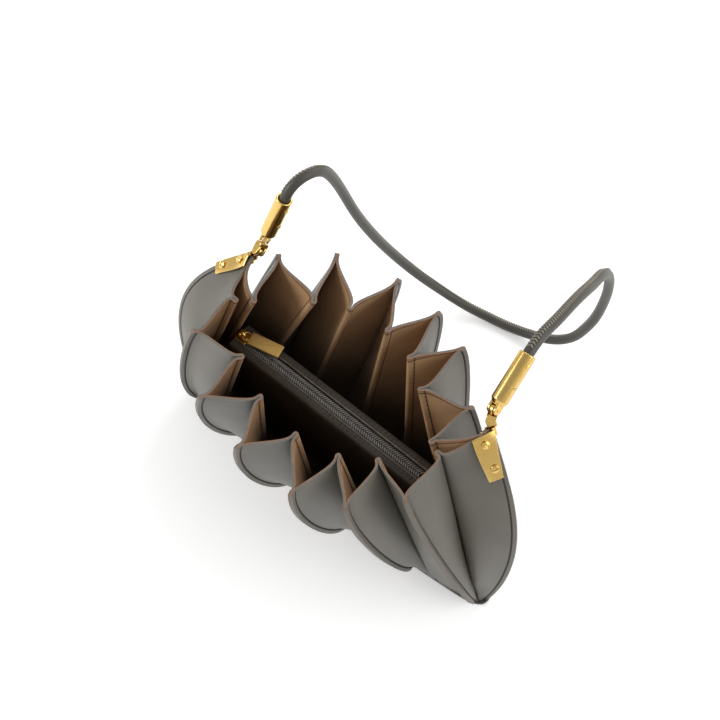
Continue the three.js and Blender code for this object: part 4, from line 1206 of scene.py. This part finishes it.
def add_ferrule(word, hang, bore_mouth):
    """A turned tube with a blind bore for the strap and a fork for the link, and two screws along its
    side."""
    run = hang.ferrule_run
    floor = FERRULE_LENGTH - FERRULE_BORE_DEPTH
    profile = eased([
        (0, 0), (FERRULE_NECK_RADIUS, 0), (FERRULE_RADIUS, FERRULE_NECK), (FERRULE_RADIUS, FERRULE_LENGTH),
        (FERRULE_BORE, FERRULE_LENGTH), (FERRULE_BORE, floor), (0, floor)], FERRULE_EASE)
    add_gold(f"{word}_ferrule_tube", f"{word}_ferrule", [
        lathe(profile, FERRULE_SIDES, hang.fork_pin + run * FERRULE_FORK, run),
        *ears(hang.fork_pin, hang.upper_axis, run, FERRULE_FORK + FERRULE_FORK_ROOT),
    ])
    facing = unit(FERRULE_SCREW_FACING - run * (FERRULE_SCREW_FACING @ run))
    for k, from_mouth in enumerate(FERRULE_SCREWS):
        seat = bore_mouth - run * from_mouth + facing * FERRULE_RADIUS
        head = screw_part(seat, facing, FERRULE_SCREW_RADIUS, FERRULE_SCREW_HEIGHT, FERRULE_SLOT_TURNS[k],
                          FERRULE_SCREW_SIDES)
        add_gold(f"{word}_ferrule_screw_head_{k + 1}", f"{word}_ferrule_screw_{k + 1}", [head])


for word, pleat, turn, bore_end, bore_mouth in (
        ("left", LEFT_END, 1, STRAP_ROUTE[0], STRAP_ROUTE[2]),
        ("right", RIGHT_END, -1, STRAP_ROUTE[-1], STRAP_ROUTE[-3])):
    hang = hanging_points(pleat, bore_end, bore_mouth)
    add_saddle(word, pleat, turn, hang)
    add_link(word, hang)
    add_ferrule(word, hang, bore_mouth)


# Middle pocket with its zip, made along X and then turned and moved as in the part's source

POCKET_LEFT = -75.5 * MM
POCKET_RIGHT = 80 * MM
POCKET_TOP = 111.4 * MM
POCKET_BOTTOM = 8 * MM
POCKET_WALL = 1.4 * MM
POCKET_HALF = 9.2 * MM
POCKET_HALF_AT_BOTTOM = 2.2 * MM
POCKET_FOLD = 1.8 * MM
POCKET_BELLY = 0.6 * MM
POCKET_SHIFT = 1.2 * MM
POCKET_TURN = np.radians(-1.3)
RIPPLE_SIDEWAYS = 0.5 * MM
RIPPLE_UPWARDS = 0.12 * MM
RIPPLE_SEED = 31
RIPPLE_LENGTHS = (0.07, 0.02)
RIPPLE_START = (6 * MM, 20 * MM)
FACING_RUN = 7.2 * MM
HEM_RAISE = 0.3 * MM
HEM_FADE = (0.9, 0.2)
POCKET_STITCH_PITCH = 2.9 * MM
POCKET_STITCH = (2.1 * MM, 0.24 * MM)
POCKET_STITCH_LEVEL = POCKET_TOP + 0.05 * MM
SLOT_HALF = 3.6 * MM
POCKET_STITCH_ROWS = (SLOT_HALF + 1.5 * MM, POCKET_HALF - 2.6 * MM)
POCKET_STITCH_MARGIN = 2 * MM
TAPE_INNER = 1.2 * MM
TAPE_OUTER = 7.4 * MM
TAPE_LEVEL = 109.0 * MM
TAPE_THICKNESS = 0.9 * MM
CHAIN_LEFT = -69.5 * MM
CHAIN_RIGHT = 66 * MM
CHAIN_MARGIN = 1 * MM
TOOTH_PITCH = 1.55 * MM
TOOTH_OFFSET = 1.45 * MM
TOOTH_LEVEL = 110.2 * MM
TOOTH_SLANT = 0.62
TOOTH = (3.5 * MM, 0.52 * MM)
BED_HALF = 2.9 * MM
BED_LEVEL = 109.55 * MM
BED_THICKNESS = 0.7 * MM
BED_CORNER = 0.5 * MM
BED_EASE = 0.1 * MM
SLIDER_MIDDLE = -71.7 * MM
SLIDER_TOP = 113.0 * MM
SLIDER_PLATE = 1.2 * MM
SLIDER_CORNER = 0.9 * MM
SLIDER_EASE = 0.4 * MM
SLIDER_OUTLINE = MM * np.array([
    (-4.5, -2.4), (-2.6, -4.1), (4.6, -4.1), (4.9, 0), (4.6, 4.1), (-2.6, 4.1), (-4.5, 2.4)])
SLIDER_LOWER_LEVEL = 107.5 * MM
POST_OUTLINE = MM * np.array([(-4.4, -2.3), (1.9, -2.3), (1.9, 2.3), (-4.4, 2.3)])
POST_LEVEL = 110 * MM
POST_HEIGHT = 5.4 * MM
POST_CORNER = 0.5 * MM
POST_EASE = 0.2 * MM
ARCH_HALF_LENGTH = 2.65 * MM
ARCH_RISE = 3.65 * MM
ARCH_HALF_WIDTH = 1.0 * MM
ARCH_SECTION = 0.16
ARCH_FOOT = 0.12
HINGE = np.array([-72 * MM, 0, SLIDER_TOP + 1.5 * MM])
PULL_DROP = np.radians(2.2)
PULL_YAW = np.radians(13.5)
PULL_START = 5.0 * MM
PULL_END = 26.2 * MM
PULL_HALF = 4.3 * MM
PULL_THICKNESS = 1.5 * MM
PULL_CORNER = 0.8 * MM
PULL_EASE = 0.35 * MM
PULL_EYE_AT = 2.9 * MM
PULL_EYE = (2.7 * MM, 0.55 * MM, 0.7 * MM)


def in_pocket(points):
    """Points of the pocket's own straight frame, turned about the upright axis and moved to the back."""
    c, s = np.cos(POCKET_TURN), np.sin(POCKET_TURN)
    turn = np.array([(c, -s, 0), (s, c, 0), (0, 0, 1)])
    return np.asarray(points) @ turn.T + TO_BACK * POCKET_SHIFT


def pocket_parts(*parts):
    """Parts of the pocket's own frame, each in its place in the bag."""
    return [(in_pocket(points), *rest) for points, *rest in parts]


def row_of(x, y, z):
    """Points in a row along X at one distance to the back and one height."""
    return np.stack(np.broadcast_arrays(x, y, z), axis=-1)


def pocket_profile():
    """Half section of a pocket wall, from the zip slot out over the facing and down: two straight runs
    joined by a quarter round, the lower one bellied by sine of its share."""
    top = POCKET_TOP - POCKET_WALL / 2
    outer = POCKET_HALF - POCKET_WALL / 2
    start = np.array([outer - POCKET_FOLD, top - POCKET_FOLD])
    facing = row_of(np.linspace(SLOT_HALF, start[0], 9), top, 0)[:, :2]
    turn = np.linspace(0, np.pi / 2, 7)[1:]
    corner = start + POCKET_FOLD * np.stack([np.sin(turn), np.cos(turn)], axis=1)
    share = np.linspace(0, 1, 22)[1:]
    low = np.array([POCKET_HALF_AT_BOTTOM - POCKET_WALL / 2, POCKET_BOTTOM])
    wall = corner[-1] + (low - corner[-1]) * share[:, None]
    wall[:, 0] += POCKET_BELLY * np.sin(np.pi * share)
    return np.concatenate([facing, corner, wall])


def add_pocket():
    """Two walls: the half section carried along X with soft ripples, thickened to both sides, with a raised
    hem at the slot and at the facing's outer edge. Two rows of stitches hold each facing."""
    x = np.linspace(POCKET_LEFT, POCKET_RIGHT, 80)
    half = pocket_profile()
    run = lengths_along(half)
    for word, side in (("front", -1), ("back", 1)):
        grid = row_of(x[:, None], side * half[:, 0], half[:, 1])
        down = np.broadcast_to(run, grid.shape[:2])
        ripple = soft_waves(grid[..., 0], down, RIPPLE_SEED + side, *RIPPLE_LENGTHS)
        grid[..., 1] += side * ripple * RIPPLE_SIDEWAYS * smooth(run, *RIPPLE_START)
        grid[..., 2] += ripple * RIPPLE_UPWARDS
        hem = np.broadcast_to(np.minimum(np.abs(run - FACING_RUN), run) / MM, grid.shape[:2])
        if side < 0:
            grid, hem = grid[:, ::-1], hem[:, ::-1]
        normals = sheet_normals(grid)
        outer = grid + normals * (POCKET_WALL / 2 + HEM_RAISE * smooth(hem, *HEM_FADE))[..., None]
        inner = grid - normals * POCKET_WALL / 2
        add_piece(f"pocket_wall_{word}", [POCKET],
                  pocket_parts((np.stack([outer, inner]), sheet_faces(*grid.shape[:2]))),
                  replaces=[f"pocket_{word}"],
                  attributes={"hem": np.stack([hem, hem])}, round_edges=POCKET_EDGE_ROUND)
        at = np.arange(POCKET_LEFT + POCKET_STITCH_MARGIN, POCKET_RIGHT - POCKET_STITCH_MARGIN,
                       POCKET_STITCH_PITCH)
        beads = []
        for reach in POCKET_STITCH_ROWS:
            spots = in_pocket(row_of(at, side * reach, POCKET_STITCH_LEVEL))
            beads.append(stitch_beads(spots, np.broadcast_to(ALONG_BAG, spots.shape),
                                      np.broadcast_to(UPWARD, spots.shape), *POCKET_STITCH))
        add_piece(f"pocket_stitching_{word}", [THREAD], beads)


def add_zip():
    """Tapes as thin woven strips, and a chain of slanted teeth in two rows on a narrow bed."""
    teeth = []
    for word, side in (("front", -1), ("back", 1)):
        x = np.linspace(POCKET_LEFT, POCKET_RIGHT, 60)
        y = np.linspace(TAPE_INNER, TAPE_OUTER, 8) * side
        grid = row_of(x[:, None], y[::side], TAPE_LEVEL)
        add_piece(f"zip_tape_strip_{word}", [TAPE], pocket_parts(wall_part(grid, TAPE_THICKNESS)),
                  replaces=[f"zip_tape_{word}"])
        at = np.arange(CHAIN_LEFT + CHAIN_MARGIN, CHAIN_RIGHT, TOOTH_PITCH) + (side > 0) * TOOTH_PITCH / 2
        spots = in_pocket(row_of(at, side * TOOTH_OFFSET, TOOTH_LEVEL))
        slant = np.broadcast_to(unit(TOOTH_SLANT * ALONG_BAG + side * TO_BACK), spots.shape)
        teeth.append(stitch_beads(spots, slant, np.broadcast_to(UPWARD, spots.shape), *TOOTH))
    middle = np.array([(CHAIN_LEFT + CHAIN_RIGHT) / 2, 0, BED_LEVEL])
    outline = rounded(rectangle((CHAIN_RIGHT - CHAIN_LEFT) / 2, BED_HALF), BED_CORNER)
    points, faces = slab(outline, middle, ALONG_BAG, TO_BACK, BED_THICKNESS, BED_EASE)
    add_piece("zip_teeth_rows", [TEETH, TAPE], [*teeth, (in_pocket(points), faces, 1)],
              replaces=["zip_chain"])


def add_slider():
    """Two rounded plates joined by a post, and an arch over the top as a half oval with an oval section."""
    outline = rounded(SLIDER_OUTLINE, SLIDER_CORNER)
    plates = [slab(outline, np.array([SLIDER_MIDDLE, 0, level]), ALONG_BAG, TO_BACK, SLIDER_PLATE,
                   SLIDER_EASE)
              for level in (SLIDER_TOP - SLIDER_PLATE / 2, SLIDER_LOWER_LEVEL)]
    post = slab(rounded(POST_OUTLINE, POST_CORNER), np.array([SLIDER_MIDDLE, 0, POST_LEVEL]),
                ALONG_BAG, TO_BACK, POST_HEIGHT, POST_EASE)
    a = np.linspace(-ARCH_FOOT, np.pi + ARCH_FOOT, 22)[:, None]
    b = ring_angles(14)[None, :]
    reach = 1 + np.cos(b) * ARCH_SECTION
    arch = row_of(HINGE[0] + np.cos(a) * ARCH_HALF_LENGTH * reach, np.sin(b) * ARCH_HALF_WIDTH,
                  SLIDER_TOP + np.sin(a) * ARCH_RISE * reach)
    arch_faces = [block[:, ::-1] for block in tube_faces(*arch.shape[:2])]
    add_gold("zip_slider_body", "zip_slider", pocket_parts(*plates, post, (arch, arch_faces)))


def add_pull():
    """A flat tab with a round eye: a rounded plate and a ring, in a frame that is yawed and dropped at the
    hinge."""
    c, s = np.cos(PULL_YAW), np.sin(PULL_YAW)
    along = np.array([c * np.cos(PULL_DROP), s * np.cos(PULL_DROP), -np.sin(PULL_DROP)])
    across = np.array([-s, c, 0])
    outline = rounded(rectangle((PULL_END - PULL_START) / 2, PULL_HALF), PULL_CORNER)
    middle = HINGE + along * (PULL_START + PULL_END) / 2
    tab = slab(outline, middle, along, across, PULL_THICKNESS, PULL_EASE)
    eye = ring_part(HINGE + along * PULL_EYE_AT, along, across, *PULL_EYE)
    add_piece("zip_pull_tab", [SATIN_GOLD], pocket_parts(tab, eye), body="pull", replaces=["zip_pull"])


add_pocket()
add_zip()
add_slider()
add_pull()


# Sole: a flat boat-shaped plate with a stitched rim, and the board that lines it
SOLE_STITCH = (3.2 * MM, 2.3 * MM, 0.26 * MM)
SOLE_STITCH_MARGIN = -0.4 * MM


def sole_outline(margin, steps=10):
    """A closed curve through the feet of all the ridges, moved out by a margin: each span is the uniform
    cubic through four neighbouring points."""
    x = PLEATS["foot_x"] * (SOLE[0] + margin)
    y = PLEATS["foot_y"] * SOLE[1] + np.sign(PLEATS["foot_y"]) * margin
    points = np.stack([x, y], axis=1)
    p0, p1, p2, p3 = (np.roll(points, shift, axis=0)[:, None] for shift in (1, 0, -1, -2))
    s = (np.arange(steps) / steps)[None, :, None]
    square = 2 * p0 - 5 * p1 + 4 * p2 - p3
    cube = 3 * p1 - p0 - 3 * p2 + p3
    return (2 * p1 + (p2 - p0) * s + square * s ** 2 + cube * s ** 3).reshape(-1, 2) / 2


def add_sole():
    """A slab on the outline of the feet, and stitches along a line inside its rim."""
    centre = UPWARD * SOLE_THICKNESS / 2
    plate = slab(sole_outline(SOLE_RIM), centre, ALONG_BAG, TO_BACK, SOLE_THICKNESS, SOLE_EASE)
    # With no tuck of its own, the whole sole gets the leather's painted shade, at the strength its rim
    # distance sets
    add_piece("sole_plate", [SOLE_LEATHER], [plate], replaces=["base_panel"],
              attributes={"fin": FAR_FROM_SEAM, "rim": FAR_FROM_SEAM})
    line = sole_outline(SOLE_STITCH_MARGIN)
    line = np.concatenate([line, line[:1]])
    path = row_of(line[:, 0], line[:, 1], SOLE_THICKNESS + BEAD_LIFT)
    beads = path_beads(path, np.broadcast_to(UPWARD, path.shape), *SOLE_STITCH)
    add_piece("sole_stitching", [THREAD], [beads])


def add_bottom_lining():
    """A thin board that closes the bag at the feet: its outline follows the panels of all the gores there,
    without their fins and tucks."""
    foot = gore_grids(np.array([0.99, 1.0]))[0][:, 1]
    first = slice(len(FIN_SHARES), HEM_COLUMN + 1, 3)
    last = slice(-HEM_COLUMN - 1, -len(FIN_SHARES), 3)
    outline = np.concatenate([foot[:, first], foot[:, last]], axis=1)[..., :2].reshape(-1, 2)
    centre = UPWARD * (SOLE_THICKNESS + BOARD / 2)
    # A rim distance deep in the bag gives the board the lining's full painted shade
    add_piece("bottom_lining", [LINING], [slab(outline, centre, ALONG_BAG, TO_BACK, BOARD, BOARD_EASE)],
              attributes={"rim": DEEP_IN_BAG, "tuck": DEEP_IN_BAG})


add_sole()
add_bottom_lining()
